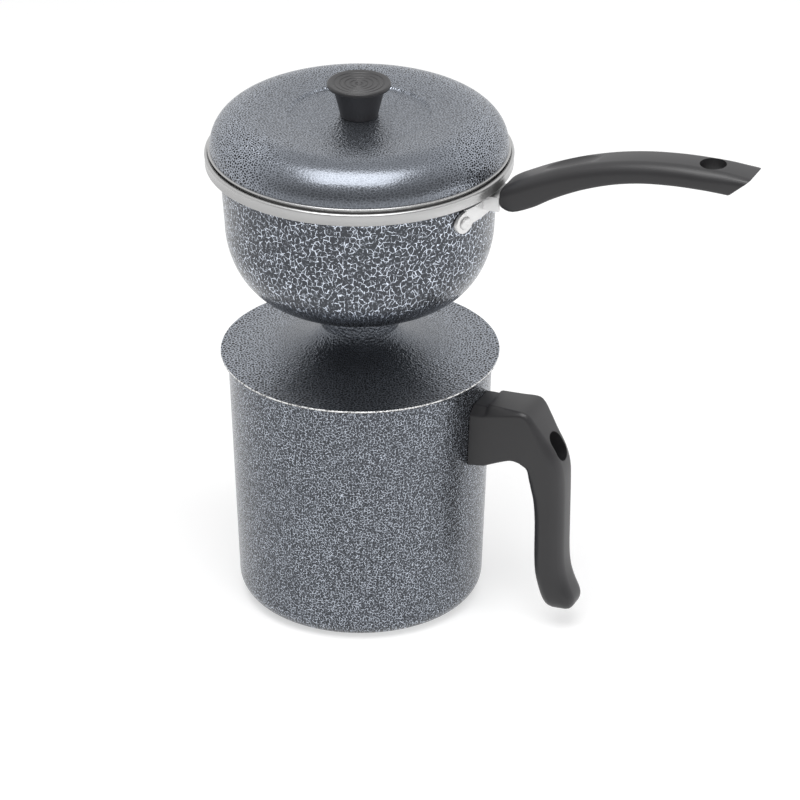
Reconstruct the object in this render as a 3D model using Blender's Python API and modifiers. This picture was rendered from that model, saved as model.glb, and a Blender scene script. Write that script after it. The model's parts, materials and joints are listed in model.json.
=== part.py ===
"""Couscous steamer: a handled boiler mug, a steam cone with a chimney, a steamer bowl with a
perforated plate, and a domed lid.

Run with  blender --background --python part.py  or from Blender's text editor.
Units are metres, +Z is up, the origin is the middle of the boiler's base, and both handles
point along +X. Round pieces are written as (radius, height) outlines that run down their
outer side.
"""

from math import atan, atan2, cos, degrees, hypot, pi, radians, sin

import bmesh
import bpy
from mathutils import Matrix, Vector

MM = 0.001

# General sizes
GAP = 0.3 * MM                    # what touching pieces keep between them
SLIDE_CLEARANCE = 0.6 * MM        # round a piece that lifts out
CUT_MARGIN = 6.0 * MM             # how far a cutter goes beyond what it cuts
SEGMENTS = 40                     # flats round a vessel
SMALL_SEGMENTS = 16               # flats round a screw, a rivet or the plate's knob
KNOB_SEGMENTS = 28                # flats round the lid's knob

# Boiler mug
BOILER_HEIGHT = 143.0 * MM
BOILER_TOP_RADIUS = 71.3 * MM
BOILER_BASE_RADIUS = 66.6 * MM
BOILER_CORNER = 12.0 * MM
BOILER_WALL = 1.4 * MM
BOILER_BEAD = 1.3 * MM            # radius of the rolled rim

# Steam cone, which covers the boiler and carries the chimney
CONE_OVERHANG = 4.0 * MM          # of its rim beyond the boiler's top
CONE_SHEET = 1.2 * MM
CONE_RISE = 20.6 * MM             # from the rim to the foot of the chimney
CONE_FLARE_POWER = 0.55           # under 1 bends the flare inwards like a trumpet
CHIMNEY_RADIUS = 18.7 * MM
CHIMNEY_ABOVE_FLOOR = 5.0 * MM    # how far it stands into the bowl
LOCATING_RING_DEPTH = 8.0 * MM
LOCATING_RING_SHEET = 1.2 * MM
LOCATING_RING_FLANGE = 8.0 * MM

# Steamer bowl
BOWL_WALL = 1.5 * MM
BOWL_BASE_RADIUS = 43.8 * MM
BOWL_WALL_TAPER = 2.4 * MM        # from just under the rim down to the belly
BOWL_BELLY_HEIGHT = 40.2 * MM     # height of the curved part above the base
BOWL_NECK_HEIGHT = 74.2 * MM      # height of the rim's underside above the base
BOWL_BELLY_POWER = 1.9
BOWL_RIM_RADIUS = 82.1 * MM
BOWL_RIM_OVERHANG = 7.8 * MM      # of the rim beyond the neck, just under it
BOWL_RIM_HEIGHT = 7.2 * MM        # rim band, from its underside to its crest
BOWL_RIM_SHEET = 1.8 * MM
COLLAR_WALL = 2.0 * MM
COLLAR_LENGTH = 20.4 * MM         # below the bowl's base
COLLAR_LEAD_IN = 1.4 * MM         # widening of the bore at its mouth
COLLAR_SHOULDER = 2.8 * MM        # how far the shoulder and the flange stand out
COLLAR_FLANGE_THICKNESS = 1.2 * MM

# Perforated plate
PLATE_HEIGHT = 11.0 * MM          # its top above the bowl's base
PLATE_SHEET = 1.2 * MM
PLATE_LIP = 3.0 * MM
HOLE_RADIUS = 2.4 * MM
HOLE_RING_RADII = (15.0 * MM, 26.0 * MM, 37.0 * MM, 48.0 * MM)
HOLE_RING_COUNTS = (8, 14, 18, 22)
HOLE_SIDES = 6
PLATE_KNOB_RADIUS = 7.0 * MM
PLATE_KNOB_HEIGHT = 14.0 * MM

# Lid
LID_SHEET = 1.2 * MM
LID_LIP_INSET = 1.7 * MM          # of the lip inside the rim
LID_SHOULDER_INSET = 1.1 * MM     # of the shoulder inside the lip
LID_CREST_RADIUS = 57.1 * MM
LID_LIP_ABOVE_RIM = 1.2 * MM      # underside of the lip above the rim's crest
LID_LIP_THICKNESS = 1.2 * MM
LID_RISE = 19.4 * MM              # from the top of the lip to the crest
LID_SHOULDER_POWER = 2.13
LID_DISH = 2.0 * MM               # how far the middle lies below the crest
LID_STEP_RADIUS = 38.0 * MM
LID_STEP = 0.6 * MM
LID_SKIRT_DEPTH = 4.6 * MM

# Lid knob
KNOB_HEIGHT = 18.6 * MM
KNOB_TOP_RADIUS = 16.9 * MM
KNOB_TOP_THICKNESS = 2.4 * MM
KNOB_SHOULDER_RADIUS = 13.8 * MM
KNOB_FOOT_RADIUS = 10.3 * MM
KNOB_BODY_POWER = 0.97            # 1 is a straight cone from the shoulder to the foot
KNOB_GROOVES = 4
KNOB_GROOVE_DEPTH = 0.5 * MM
KNOB_WASHER_RADIUS = 7.5 * MM
KNOB_WASHER_THICKNESS = 0.8 * MM
INSERT_RADIUS = 4.0 * MM
INSERT_LENGTH = 9.0 * MM

# Screws and rivets
SCREW_RADIUS = 2.0 * MM
SCREW_HEAD_RADIUS = 3.6 * MM
SCREW_HEAD_HEIGHT = 2.0 * MM
SCREW_SLOT_WIDTH = 1.0 * MM
SCREW_SLOT_DEPTH = 0.8 * MM
SCREW_BITE = 8.5 * MM             # length of a handle's screw beyond the tongue
BOILER_SCREW_BED = 8.0 * MM       # handle between that screw's head and the tongue
RIVET_RADIUS = 2.2 * MM
RIVET_HEAD_RADIUS = 3.7 * MM
RIVET_HEAD_HEIGHT = 1.6 * MM
RIVET_INNER_HEIGHT = 1.0 * MM

# Boiler bracket, and the block of the handle round it
BOILER_BRACKET_DROP = 21.6 * MM   # its middle below the handle's top
BOILER_BRACKET_HEIGHT = 25.0 * MM
BOILER_BRACKET_WIDTH = 17.0 * MM
BOILER_BRACKET_SHEET = 1.8 * MM
BOILER_RIVET_SPACING = 16.0 * MM
BOILER_TONGUE_WIDTH = 12.0 * MM
BOILER_TONGUE_THICKNESS = 3.5 * MM
BOILER_TONGUE_LENGTH = 22.0 * MM
BOILER_SCREW_REACH = 15.0 * MM    # from the boiler's wall to the handle's screw

# Boiler handle: a block against the wall, a bend, and a grip that hangs down to a toe
BOILER_HANDLE_WIDTH = 26.0 * MM
BOILER_HANDLE_DROP = 12.4 * MM    # its top below the boiler's rim
BOILER_HANDLE_STEP = 1.6 * MM     # how much lower the top is next to the wall
BOILER_BLOCK_HEIGHT = 38.3 * MM   # at the wall
BOILER_BLOCK_LENGTH = 29.6 * MM   # flat top, from the wall to the bend
BOILER_BEND_HEIGHT = 44.6 * MM    # from the flat top down to the straight grip
BOILER_GRIP_WIDTH = 22.0 * MM
BOILER_GRIP_BEYOND = 50.3 * MM    # the grip's outer face beyond the boiler's top
BOILER_GRIP_THICKNESS = 16.5 * MM
BOILER_HANDLE_FOOT = 12.6 * MM
BOILER_TOE_REACH = 6.6 * MM       # how far the toe turns outwards
BOILER_TOE_HEIGHT = 23.0 * MM
BOILER_HANG_WIDTH = 12.0 * MM
BOILER_HANG_HEIGHT = 17.0 * MM
BOILER_HANG_BELOW_TOP = 21.3 * MM
BOILER_HANG_INSIDE = 5.0 * MM     # its middle inside the grip's outer face
BOILER_HANG_TILT = radians(32)

# Bowl bracket
BOWL_BRACKET_SHEET = 1.6 * MM
BOWL_CHANNEL_WIDTH = 18.6 * MM
BOWL_CHANNEL_DEPTH = 8.0 * MM
BOWL_CHANNEL_BELOW_RIM = 9.2 * MM     # top of the channel below the rim's crest
BOWL_TONGUE_LENGTH = 13.0 * MM        # how far it goes into the handle
BOWL_TONGUE_INSET = 1.5 * MM          # narrower than the channel, each side
BOWL_SCREW_REACH = 7.5 * MM           # from the handle's front to its screw
BOWL_RIVET_ANGLE = radians(19.2)
BOWL_RIVET_BELOW_RIM = 19.0 * MM
EAR_RADIUS = 6.2 * MM
EAR_ARM_HEIGHT = 9.6 * MM
EAR_ARM_RISE = 2.4 * MM               # of the arm's middle above the rivet

# Bowl handle: an arch that flattens towards its end
BOWL_HANDLE_WIDTH = 24.0 * MM
BOWL_HANDLE_CLEARANCE = 1.9 * MM      # between the rim and the front face
BOWL_HANDLE_LENGTH = 138.0 * MM
BOWL_HANDLE_ARCH = 27.9 * MM          # highest point of the top above the rim's crest
BOWL_HANDLE_ARCH_AT = 115.0 * MM      # where that is, from the front face
BOWL_HANDLE_FALL = 31.4 * MM          # from there down to the front face's top
BOWL_HANDLE_ARCH_POWER = 2.25
BOWL_HANDLE_TAIL_FALL = 1.6 * MM      # from there down to the far end
BOWL_HANDLE_THICKNESS = 11.2 * MM
BOWL_HANDLE_SWELL = 5.7 * MM          # how much thicker it is at the front
BOWL_HANDLE_SWELL_LENGTH = 76.0 * MM
BOWL_HANDLE_UNDERCUT = 10.0 * MM      # how far the end face slopes back
BOWL_HANG_RADIUS = 7.0 * MM
BOWL_HANG_FROM_END = 23.6 * MM

# Sizes that follow
BOWL_NECK_RADIUS = BOWL_RIM_RADIUS - BOWL_RIM_OVERHANG
BOWL_BELLY_RADIUS = BOWL_NECK_RADIUS - BOWL_WALL_TAPER
BOILER_HANDLE_TOP = BOILER_HEIGHT - BOILER_HANDLE_DROP
BOILER_BRACKET_MIDDLE = BOILER_HANDLE_TOP - BOILER_BRACKET_DROP
BOILER_GRIP_REACH = BOILER_TOP_RADIUS + BOILER_GRIP_BEYOND
BOWL_HANDLE_START = BOWL_RIM_RADIUS + BOWL_HANDLE_CLEARANCE
BOWL_HANDLE_REACH = BOWL_HANDLE_START + BOWL_HANDLE_LENGTH
LID_LIP_RADIUS = BOWL_RIM_RADIUS - LID_LIP_INSET
LID_SHOULDER_RADIUS = LID_LIP_RADIUS - LID_SHOULDER_INSET
CONE_RIM_RADIUS = BOILER_TOP_RADIUS + CONE_OVERHANG
CONE_RIM_HEIGHT = BOILER_HEIGHT + GAP + CONE_SHEET
COLLAR_BORE = CHIMNEY_RADIUS + SLIDE_CLEARANCE
COLLAR_MOUTH = COLLAR_BORE + COLLAR_LEAD_IN


def superellipse(center, width, height, power, steps):
    """Points on a quarter of a superellipse, from its side to its top."""
    points = []
    for i in range(steps + 1):
        t = pi / 2 * i / steps
        across = max(0.0, cos(t)) ** (2 / power)
        along = max(0.0, sin(t)) ** (2 / power)
        points.append((center[0] + width * across, center[1] + height * along))
    return points


def cone_flare():
    """The steam cone's upper face, from its rim up to the foot of the chimney."""
    span = CONE_RIM_RADIUS - CHIMNEY_RADIUS
    return superellipse((CHIMNEY_RADIUS, CONE_RIM_HEIGHT), span, CONE_RISE,
                        CONE_FLARE_POWER, 10)


def cone_height(radius):
    """Height of the steam cone's upper face at a radius."""
    for (r0, z0), (r1, z1) in zip(cone_flare(), cone_flare()[1:]):
        if r1 <= radius <= r0:
            return z0 + (z1 - z0) * (r0 - radius) / (r0 - r1)
    raise ValueError("no such radius on the flare")


BOWL_BASE = cone_height(COLLAR_MOUTH) + GAP + COLLAR_LENGTH
BOWL_FLOOR = BOWL_BASE + BOWL_WALL
BOWL_RIM_UNDERSIDE = BOWL_BASE + BOWL_NECK_HEIGHT
BOWL_RIM_CREST = BOWL_RIM_UNDERSIDE + BOWL_RIM_HEIGHT
COLLAR_RADIUS = COLLAR_BORE + COLLAR_WALL
CHIMNEY_TOP = BOWL_FLOOR + CHIMNEY_ABOVE_FLOOR
LID_LIP_UNDERSIDE = BOWL_RIM_CREST + LID_LIP_ABOVE_RIM
LID_LIP_TOP = LID_LIP_UNDERSIDE + LID_LIP_THICKNESS
LID_CREST = LID_LIP_TOP + LID_RISE
LID_MIDDLE = LID_CREST - LID_DISH
KNOB_FOOT = LID_MIDDLE + GAP


# Scene and helpers

def clear_scene():
    for obj in list(bpy.data.objects):
        bpy.data.objects.remove(obj)
    for collection in list(bpy.data.collections):
        bpy.data.collections.remove(collection)


def new_collection(name):
    collection = bpy.data.collections.new(name)
    bpy.context.scene.collection.children.link(collection)
    return collection


def new_material(name, color, roughness, metallic):
    material = bpy.data.materials.new(name)
    material.use_nodes = True
    shader = material.node_tree.nodes["Principled BSDF"]
    shader.inputs["Base Color"].default_value = (*color, 1)
    shader.inputs["Roughness"].default_value = roughness
    shader.inputs["Metallic"].default_value = metallic
    material.diffuse_color = (*color, 1)
    return material


def new_object(name, mesh, material=None, smooth_below=radians(35)):
    """A piece with a material, or a hidden cutter without one."""
    obj = bpy.data.objects.new(name, mesh)
    if material is None:
        CUTTERS.objects.link(obj)
        obj.hide_render = True
        obj.display_type = "WIRE"
    else:
        PARTS.objects.link(obj)
        mesh.materials.append(material)
        if len(mesh.polygons):
            mesh.shade_smooth()
            mesh.set_sharp_from_angle(angle=smooth_below)
    return obj


def mesh_from(bm, name):
    mesh = bpy.data.meshes.new(name)
    bm.to_mesh(mesh)
    bm.free()
    return mesh


def boolean(obj, other, operation="DIFFERENCE"):
    modifier = obj.modifiers.new(operation.title() + " " + other.name, "BOOLEAN")
    modifier.operation = operation
    modifier.object = other
    modifier.solver = "EXACT"


def arc(center, radius, start, end, steps):
    """Points on an arc, in degrees counter-clockwise from the outward direction."""
    angles = [radians(start + (end - start) * i / steps) for i in range(steps + 1)]
    return [(center[0] + radius * cos(a), center[1] + radius * sin(a)) for a in angles]


def offset(points, distance):
    """The same line moved inwards, for a line that runs down its outer side."""
    moved = []
    for i, (r, z) in enumerate(points):
        before = points[max(i - 1, 0)]
        after = points[min(i + 1, len(points) - 1)]
        normals = []
        for (r0, z0), (r1, z1) in ((before, (r, z)), ((r, z), after)):
            length = hypot(r1 - r0, z1 - z0)
            if length > 0:
                normals.append(Vector((z0 - z1, r1 - r0)) / length)
        normal = sum(normals, Vector((0, 0))).normalized()
        reach = distance / normal.dot(normals[0])
        moved.append((max(0.0, r - reach * normal.x), z - reach * normal.y))
    return moved


def radius_at(points, height):
    """Radius of a rising or falling line at a height."""
    for (r0, z0), (r1, z1) in zip(points, points[1:]):
        if min(z0, z1) <= height <= max(z0, z1) and z0 != z1:
            return r0 + (r1 - r0) * (height - z0) / (z1 - z0)
    raise ValueError("no such height on the line")


def turned(name, outline, material=None, segments=SEGMENTS):
    """Turn an outline about Z. An outline that doesn't end on the axis is closed to a ring."""
    bm = bmesh.new()
    verts = [bm.verts.new((r, 0, z)) for r, z in outline]
    for a, b in zip(verts, verts[1:]):
        bm.edges.new((a, b))
    if outline[0][0] > 0 or outline[-1][0] > 0:
        bm.edges.new((verts[-1], verts[0]))
    obj = new_object(name, mesh_from(bm, name), material)
    screw = obj.modifiers.new("Turn", "SCREW")
    screw.steps = screw.render_steps = segments
    screw.use_merge_vertices = True
    screw.merge_threshold = 0.00001
    screw.use_smooth_shade = True
    return obj


def box(name, low, high, material=None):
    bm = bmesh.new()
    bmesh.ops.create_cube(bm, size=1)
    size = Vector(high) - Vector(low)
    middle = (Vector(high) + Vector(low)) / 2
    bmesh.ops.scale(bm, vec=size, verts=bm.verts)
    bmesh.ops.translate(bm, vec=middle, verts=bm.verts)
    return new_object(name, mesh_from(bm, name), material)


def cylinder_into(bm, radius, start, end, sides):
    """Add a closed cylinder from one point to another."""
    start, end = Vector(start), Vector(end)
    axis = end - start
    turn = axis.to_track_quat("Z", "Y").to_matrix().to_4x4()
    bmesh.ops.create_cone(
        bm, cap_ends=True, segments=sides, radius1=radius, radius2=radius, depth=axis.length,
        matrix=Matrix.Translation((start + end) / 2) @ turn)


def cylinder(name, radius, start, end, material=None, sides=SMALL_SEGMENTS):
    bm = bmesh.new()
    cylinder_into(bm, radius, start, end, sides)
    return new_object(name, mesh_from(bm, name), material)


def loft(name, rings, material):
    """Skin a row of rings that have the same number of points, and close its ends."""
    bm = bmesh.new()
    rows = [[bm.verts.new(point) for point in ring] for ring in rings]
    for row, following in zip(rows, rows[1:]):
        for i in range(len(row)):
            j = (i + 1) % len(row)
            bm.faces.new((row[i], row[j], following[j], following[i]))
    bm.faces.new(reversed(rows[0]))
    bm.faces.new(rows[-1])
    bmesh.ops.recalc_face_normals(bm, faces=bm.faces)
    return new_object(name, mesh_from(bm, name), material)


def rounded_section(width, height, corner, steps=3):
    """Points round a rectangle with rounded corners, centred on (0, 0)."""
    corner = min(corner, 0.499 * width, 0.499 * height)
    points = []
    for quarter, (sx, sy) in enumerate(((1, 1), (-1, 1), (-1, -1), (1, -1))):
        center = (sx * (width / 2 - corner), sy * (height / 2 - corner))
        points += arc(center, corner, 90 * quarter, 90 * quarter + 90, steps)
    return points


# Outlines of the vessels

def boiler_outer():
    """From under the rim's bead, down the wall and across the base to the axis."""
    slope = atan2(BOILER_TOP_RADIUS - BOILER_BASE_RADIUS, BOILER_HEIGHT - BOILER_CORNER)
    top = (BOILER_TOP_RADIUS, BOILER_HEIGHT - 2 * BOILER_BEAD)
    center = (BOILER_BASE_RADIUS - BOILER_CORNER, BOILER_CORNER)
    corner = arc(center, BOILER_CORNER, -degrees(slope), -90, 5)
    return [top] + corner + [(0.0, 0.0)]


def boiler_outline():
    wall = boiler_outer()
    inner = offset(wall, BOILER_WALL)[::-1]
    bead_center = (BOILER_TOP_RADIUS, BOILER_HEIGHT - BOILER_BEAD)
    bead = arc(bead_center, BOILER_BEAD, 110, -90, 5)
    return inner + bead + wall[1:]


def cone_outline():
    upper = [(CHIMNEY_RADIUS, CHIMNEY_TOP)] + cone_flare()[::-1]
    under = offset(upper, CONE_SHEET)
    under[-1] = (CONE_RIM_RADIUS - 0.2 * MM, CONE_RIM_HEIGHT - CONE_SHEET)
    return upper + under[::-1]


def bowl_outer():
    """From the rim's underside down the wall and round the belly to the base."""
    belly = superellipse((BOWL_BASE_RADIUS, BOWL_BASE + BOWL_BELLY_HEIGHT),
                         BOWL_BELLY_RADIUS - BOWL_BASE_RADIUS, -BOWL_BELLY_HEIGHT,
                         BOWL_BELLY_POWER, 7)
    hole = (COLLAR_RADIUS + GAP, BOWL_BASE)
    return [(BOWL_NECK_RADIUS, BOWL_RIM_UNDERSIDE)] + belly + [hole]


def bowl_inner():
    return offset(bowl_outer(), BOWL_WALL)


def bowl_outline():
    """Wall, then a ledge for the lid's skirt and an upright band with a rolled crest."""
    wall = bowl_outer()
    inner = bowl_inner()[::-1]
    inner[0] = (wall[-1][0], BOWL_FLOOR)
    bead = BOWL_RIM_SHEET / 2 + 0.3 * MM
    crest = (BOWL_RIM_RADIUS - bead, BOWL_RIM_CREST - bead)
    band_inside = BOWL_RIM_RADIUS - BOWL_RIM_SHEET - 0.9 * MM
    ledge = BOWL_RIM_UNDERSIDE + BOWL_RIM_SHEET
    rim = [
        (BOWL_NECK_RADIUS - BOWL_WALL + 0.8 * MM, ledge),
        (band_inside, ledge + 0.4 * MM),
        (band_inside + 0.3 * MM, BOWL_RIM_CREST - 1.2 * MM),
    ]
    rim += arc(crest, bead, 135, -45, 5)
    rim += [
        (BOWL_RIM_RADIUS - 1.0 * MM, BOWL_RIM_UNDERSIDE + 2.0 * MM),
        (BOWL_RIM_RADIUS - 0.9 * MM, BOWL_RIM_UNDERSIDE + 1.2 * MM),
        (BOWL_RIM_RADIUS - 1.8 * MM, BOWL_RIM_UNDERSIDE + 0.5 * MM),
    ]
    return inner + rim + wall


def lid_top():
    """The lid's upper face, from its middle out over the crest to the lip."""
    dish = []
    for share in (0.0, 0.28, 0.55):
        radius = LID_STEP_RADIUS * share
        dish.append((radius, LID_MIDDLE))
    dish += [
        (LID_STEP_RADIUS - 0.8 * MM, LID_MIDDLE),
        (LID_STEP_RADIUS + 0.8 * MM, LID_MIDDLE + LID_STEP),
        ((LID_STEP_RADIUS + LID_CREST_RADIUS) / 2, LID_CREST - 0.3 * MM),
    ]
    shoulder = superellipse((LID_CREST_RADIUS, LID_LIP_TOP),
                            LID_SHOULDER_RADIUS - LID_CREST_RADIUS, LID_RISE,
                            LID_SHOULDER_POWER, 7)
    return dish + shoulder[::-1]


def lid_outline():
    top = lid_top()
    bore = (SCREW_RADIUS + GAP, LID_MIDDLE)
    top[0] = bore
    under = offset(top, LID_SHEET)
    skirt = BOWL_RIM_RADIUS - BOWL_RIM_SHEET - 0.9 * MM - SLIDE_CLEARANCE
    skirt_foot = LID_LIP_UNDERSIDE - LID_SKIRT_DEPTH
    lip = [
        (LID_LIP_RADIUS, LID_LIP_TOP - 0.2 * MM),
        (LID_LIP_RADIUS, LID_LIP_UNDERSIDE + 0.2 * MM),
        (LID_LIP_RADIUS - 0.3 * MM, LID_LIP_UNDERSIDE),
        (skirt, LID_LIP_UNDERSIDE),
        (skirt, skirt_foot),
        (skirt - LID_SHEET, skirt_foot),
    ]
    under[0] = (bore[0], LID_MIDDLE - LID_SHEET)
    under[-1] = (skirt - LID_SHEET, LID_LIP_UNDERSIDE)
    return top + lip + under[::-1]


# Pieces

def boiler_wall_radius(height):
    return radius_at(boiler_outer(), height)


def boiler_slope():
    low = boiler_wall_radius(BOILER_BRACKET_MIDDLE - 10 * MM)
    high = boiler_wall_radius(BOILER_BRACKET_MIDDLE + 10 * MM)
    return atan2(high - low, 20 * MM)


def wall_band(name, radius_of, low, high, start, thickness, material=None):
    """A ring that follows a vessel's wall between two heights, a little way outside it."""
    inner = [(radius_of(high) + start, high), (radius_of(low) + start, low)]
    outer = [(r + thickness, z) for r, z in inner]
    return turned(name, outer + inner[::-1], material)


def make_boiler_bracket():
    low = BOILER_BRACKET_MIDDLE - BOILER_BRACKET_HEIGHT / 2
    high = BOILER_BRACKET_MIDDLE + BOILER_BRACKET_HEIGHT / 2
    bracket = wall_band("boiler_bracket", boiler_wall_radius, low, high, GAP,
                        BOILER_BRACKET_SHEET, STEEL)
    half = BOILER_BRACKET_WIDTH / 2
    window = box("boiler_bracket_window", (0.5 * BOILER_TOP_RADIUS, -half, low - MM),
                 (1.5 * BOILER_TOP_RADIUS, half, high + MM))
    boolean(bracket, window, "INTERSECT")
    wall = boiler_wall_radius(BOILER_BRACKET_MIDDLE)
    tongue = box(
        "boiler_bracket_tongue",
        (wall + 2 * GAP, -BOILER_TONGUE_WIDTH / 2,
         BOILER_BRACKET_MIDDLE - BOILER_TONGUE_THICKNESS / 2),
        (wall + BOILER_TONGUE_LENGTH, BOILER_TONGUE_WIDTH / 2,
         BOILER_BRACKET_MIDDLE + BOILER_TONGUE_THICKNESS / 2))
    boolean(bracket, tongue, "UNION")
    screw_at = wall + BOILER_SCREW_REACH
    hole = cylinder("boiler_bracket_screw_hole", SCREW_RADIUS + GAP,
                    (screw_at, 0, BOILER_BRACKET_MIDDLE - 10 * MM),
                    (screw_at, 0, BOILER_BRACKET_MIDDLE + 10 * MM))
    boolean(bracket, hole)
    return bracket


def rivet(name, point, outward, plates, material):
    """A rivet through plates that together measure so much, seated on their outer face."""
    head = RIVET_HEAD_HEIGHT
    dome = superellipse((0, GAP), RIVET_HEAD_RADIUS, head, 2.6, 4)
    depth = plates + 2 * GAP
    outline = dome[::-1] + [
        (RIVET_RADIUS, GAP),
        (RIVET_RADIUS, GAP - depth),
        (RIVET_HEAD_RADIUS * 0.9, GAP - depth),
        (RIVET_HEAD_RADIUS * 0.9, GAP - depth - RIVET_INNER_HEIGHT * 0.6),
        (RIVET_HEAD_RADIUS * 0.7, GAP - depth - RIVET_INNER_HEIGHT),
        (0, GAP - depth - RIVET_INNER_HEIGHT),
    ]
    outline[0] = (0, outline[0][1])
    obj = turned(name, outline, material, SMALL_SEGMENTS)
    turn = Vector(outward).to_track_quat("Z", "Y")
    obj.location = point
    obj.rotation_euler = turn.to_euler()
    return obj


def rivet_hole(name, point, outward):
    """Cutter for a rivet's shank."""
    reach = 8 * MM
    outward = Vector(outward).normalized()
    return cylinder(name, RIVET_RADIUS + GAP, Vector(point) - reach * outward,
                    Vector(point) + reach * outward)


def rivet_through(name, vessel, bracket, radius_of, angle, height, slope, sheet):
    """Rivet a bracket to a vessel's wall, and drill both."""
    outward = Vector((cos(angle) * cos(slope), sin(angle) * cos(slope), -sin(slope)))
    wall = BOILER_WALL if vessel.name == "boiler_body" else BOWL_WALL
    outer = radius_of(height) + (GAP + sheet) / cos(slope)
    point = Vector((outer * cos(angle), outer * sin(angle), height))
    hole = rivet_hole(name + "_hole", point, outward)
    boolean(vessel, hole)
    boolean(bracket, hole)
    return rivet(name, point, outward, wall + GAP + sheet, STEEL)


def screw(name, head_face, length, material):
    """A slotted screw. Its head's face lies at head_face and looks down."""
    outline = [
        (0, length), (SCREW_RADIUS - 0.5 * MM, length), (SCREW_RADIUS, length - 0.8 * MM),
        (SCREW_RADIUS, SCREW_HEAD_HEIGHT), (SCREW_HEAD_RADIUS, SCREW_HEAD_HEIGHT),
        (SCREW_HEAD_RADIUS, 0.5 * MM), (SCREW_HEAD_RADIUS - 0.5 * MM, 0), (0, 0),
    ]
    obj = turned(name, outline, material, SMALL_SEGMENTS)
    obj.location = head_face
    slot = box(name + "_slot", (-SCREW_HEAD_RADIUS - MM, -SCREW_SLOT_WIDTH / 2, -MM),
               (SCREW_HEAD_RADIUS + MM, SCREW_SLOT_WIDTH / 2, SCREW_SLOT_DEPTH))
    slot.location = head_face
    boolean(obj, slot)


def section_ring(center, direction, width, thickness, corner):
    """A rounded section square to a direction in the XZ plane."""
    along = Vector((direction[0], 0, direction[1])).normalized()
    normal = Vector((-along.z, 0, along.x))
    across = Vector((0, 1, 0))
    origin = Vector((center[0], 0, center[1]))
    return [origin + across * a + normal * b
            for a, b in rounded_section(width, thickness, corner)]


def sweep_rings(stations):
    """Rings for stations of (outer point, inner point, width, corner radius)."""
    rings = []
    for (ox, oz), (ix, iz), width, corner in stations:
        center = ((ox + ix) / 2, (oz + iz) / 2)
        normal = (ox - ix, oz - iz)
        direction = (normal[1], -normal[0])
        thickness = hypot(*normal)
        rings.append(section_ring(center, direction, width, thickness, corner))
    return rings


def boiler_handle_stations(wall):
    """Pairs of outer and inner points from inside the wall to the toe, with a width and a
    corner radius each."""
    top = BOILER_HANDLE_TOP
    outer_x = BOILER_GRIP_REACH
    inner_x = outer_x - BOILER_GRIP_THICKNESS
    foot = BOILER_HANDLE_FOOT
    block_foot = top - BOILER_BLOCK_HEIGHT
    block_end = wall + BOILER_BLOCK_LENGTH
    inside_wall = 0.92 * wall
    width, grip = BOILER_HANDLE_WIDTH, BOILER_GRIP_WIDTH

    def flat(share, drop=0.0):
        return (wall + share * BOILER_BLOCK_LENGTH, top - drop)

    def bend(across, down):
        return (block_end + across * (outer_x - block_end), top - down * BOILER_BEND_HEIGHT)

    def under(across, rise):
        return (wall + across * (inner_x - wall), block_foot + rise * BOILER_BLOCK_HEIGHT)

    def toe(side, out, up):
        return (side + out * BOILER_TOE_REACH, foot + up * BOILER_TOE_HEIGHT)

    return [
        ((inside_wall, top - BOILER_HANDLE_STEP), (inside_wall, block_foot), width, 2.0 * MM),
        (flat(0.26, BOILER_HANDLE_STEP), under(0.21, 0.05), width, 2.0 * MM),
        (flat(0.31), under(0.35, 0.10), width, 1.6 * MM),
        (bend(0.00, 0.00), under(0.64, 0.21), width, 1.6 * MM),
        (bend(0.18, 0.04), under(0.76, 0.20), width, 2.2 * MM),
        (bend(0.33, 0.16), under(0.83, 0.165), width, 3.2 * MM),
        (bend(0.57, 0.35), under(0.90, 0.09), 0.75 * width + 0.25 * grip, 4.5 * MM),
        (bend(0.81, 0.53), under(0.92, -0.07), 0.5 * width + 0.5 * grip, 6.0 * MM),
        (bend(0.96, 0.74), under(0.945, -0.23), 0.25 * width + 0.75 * grip, 7.5 * MM),
        (bend(1.00, 1.00), under(0.977, -0.43), grip, 8.0 * MM),
        ((outer_x, block_foot - 0.70 * BOILER_BLOCK_HEIGHT), under(1.00, -0.75), grip, 8.0 * MM),
        (toe(outer_x, 0.0, 1.45), toe(inner_x, 0.0, 1.40), grip, 8.0 * MM),
        (toe(outer_x, 0.15, 1.00), toe(inner_x, 0.08, 0.95), grip, 8.0 * MM),
        (toe(outer_x, 0.48, 0.68), toe(inner_x, 0.30, 0.64), grip, 8.0 * MM),
        (toe(outer_x, 0.97, 0.34), toe(inner_x, 0.62, 0.32), 0.95 * grip, 7.0 * MM),
        (toe(outer_x, 0.94, 0.16), toe(inner_x, 0.92, 0.12), 0.80 * grip, 5.0 * MM),
        (toe(outer_x, 0.72, 0.05), toe(inner_x, 1.32, 0.02), 0.60 * grip, 3.0 * MM),
    ]


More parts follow.
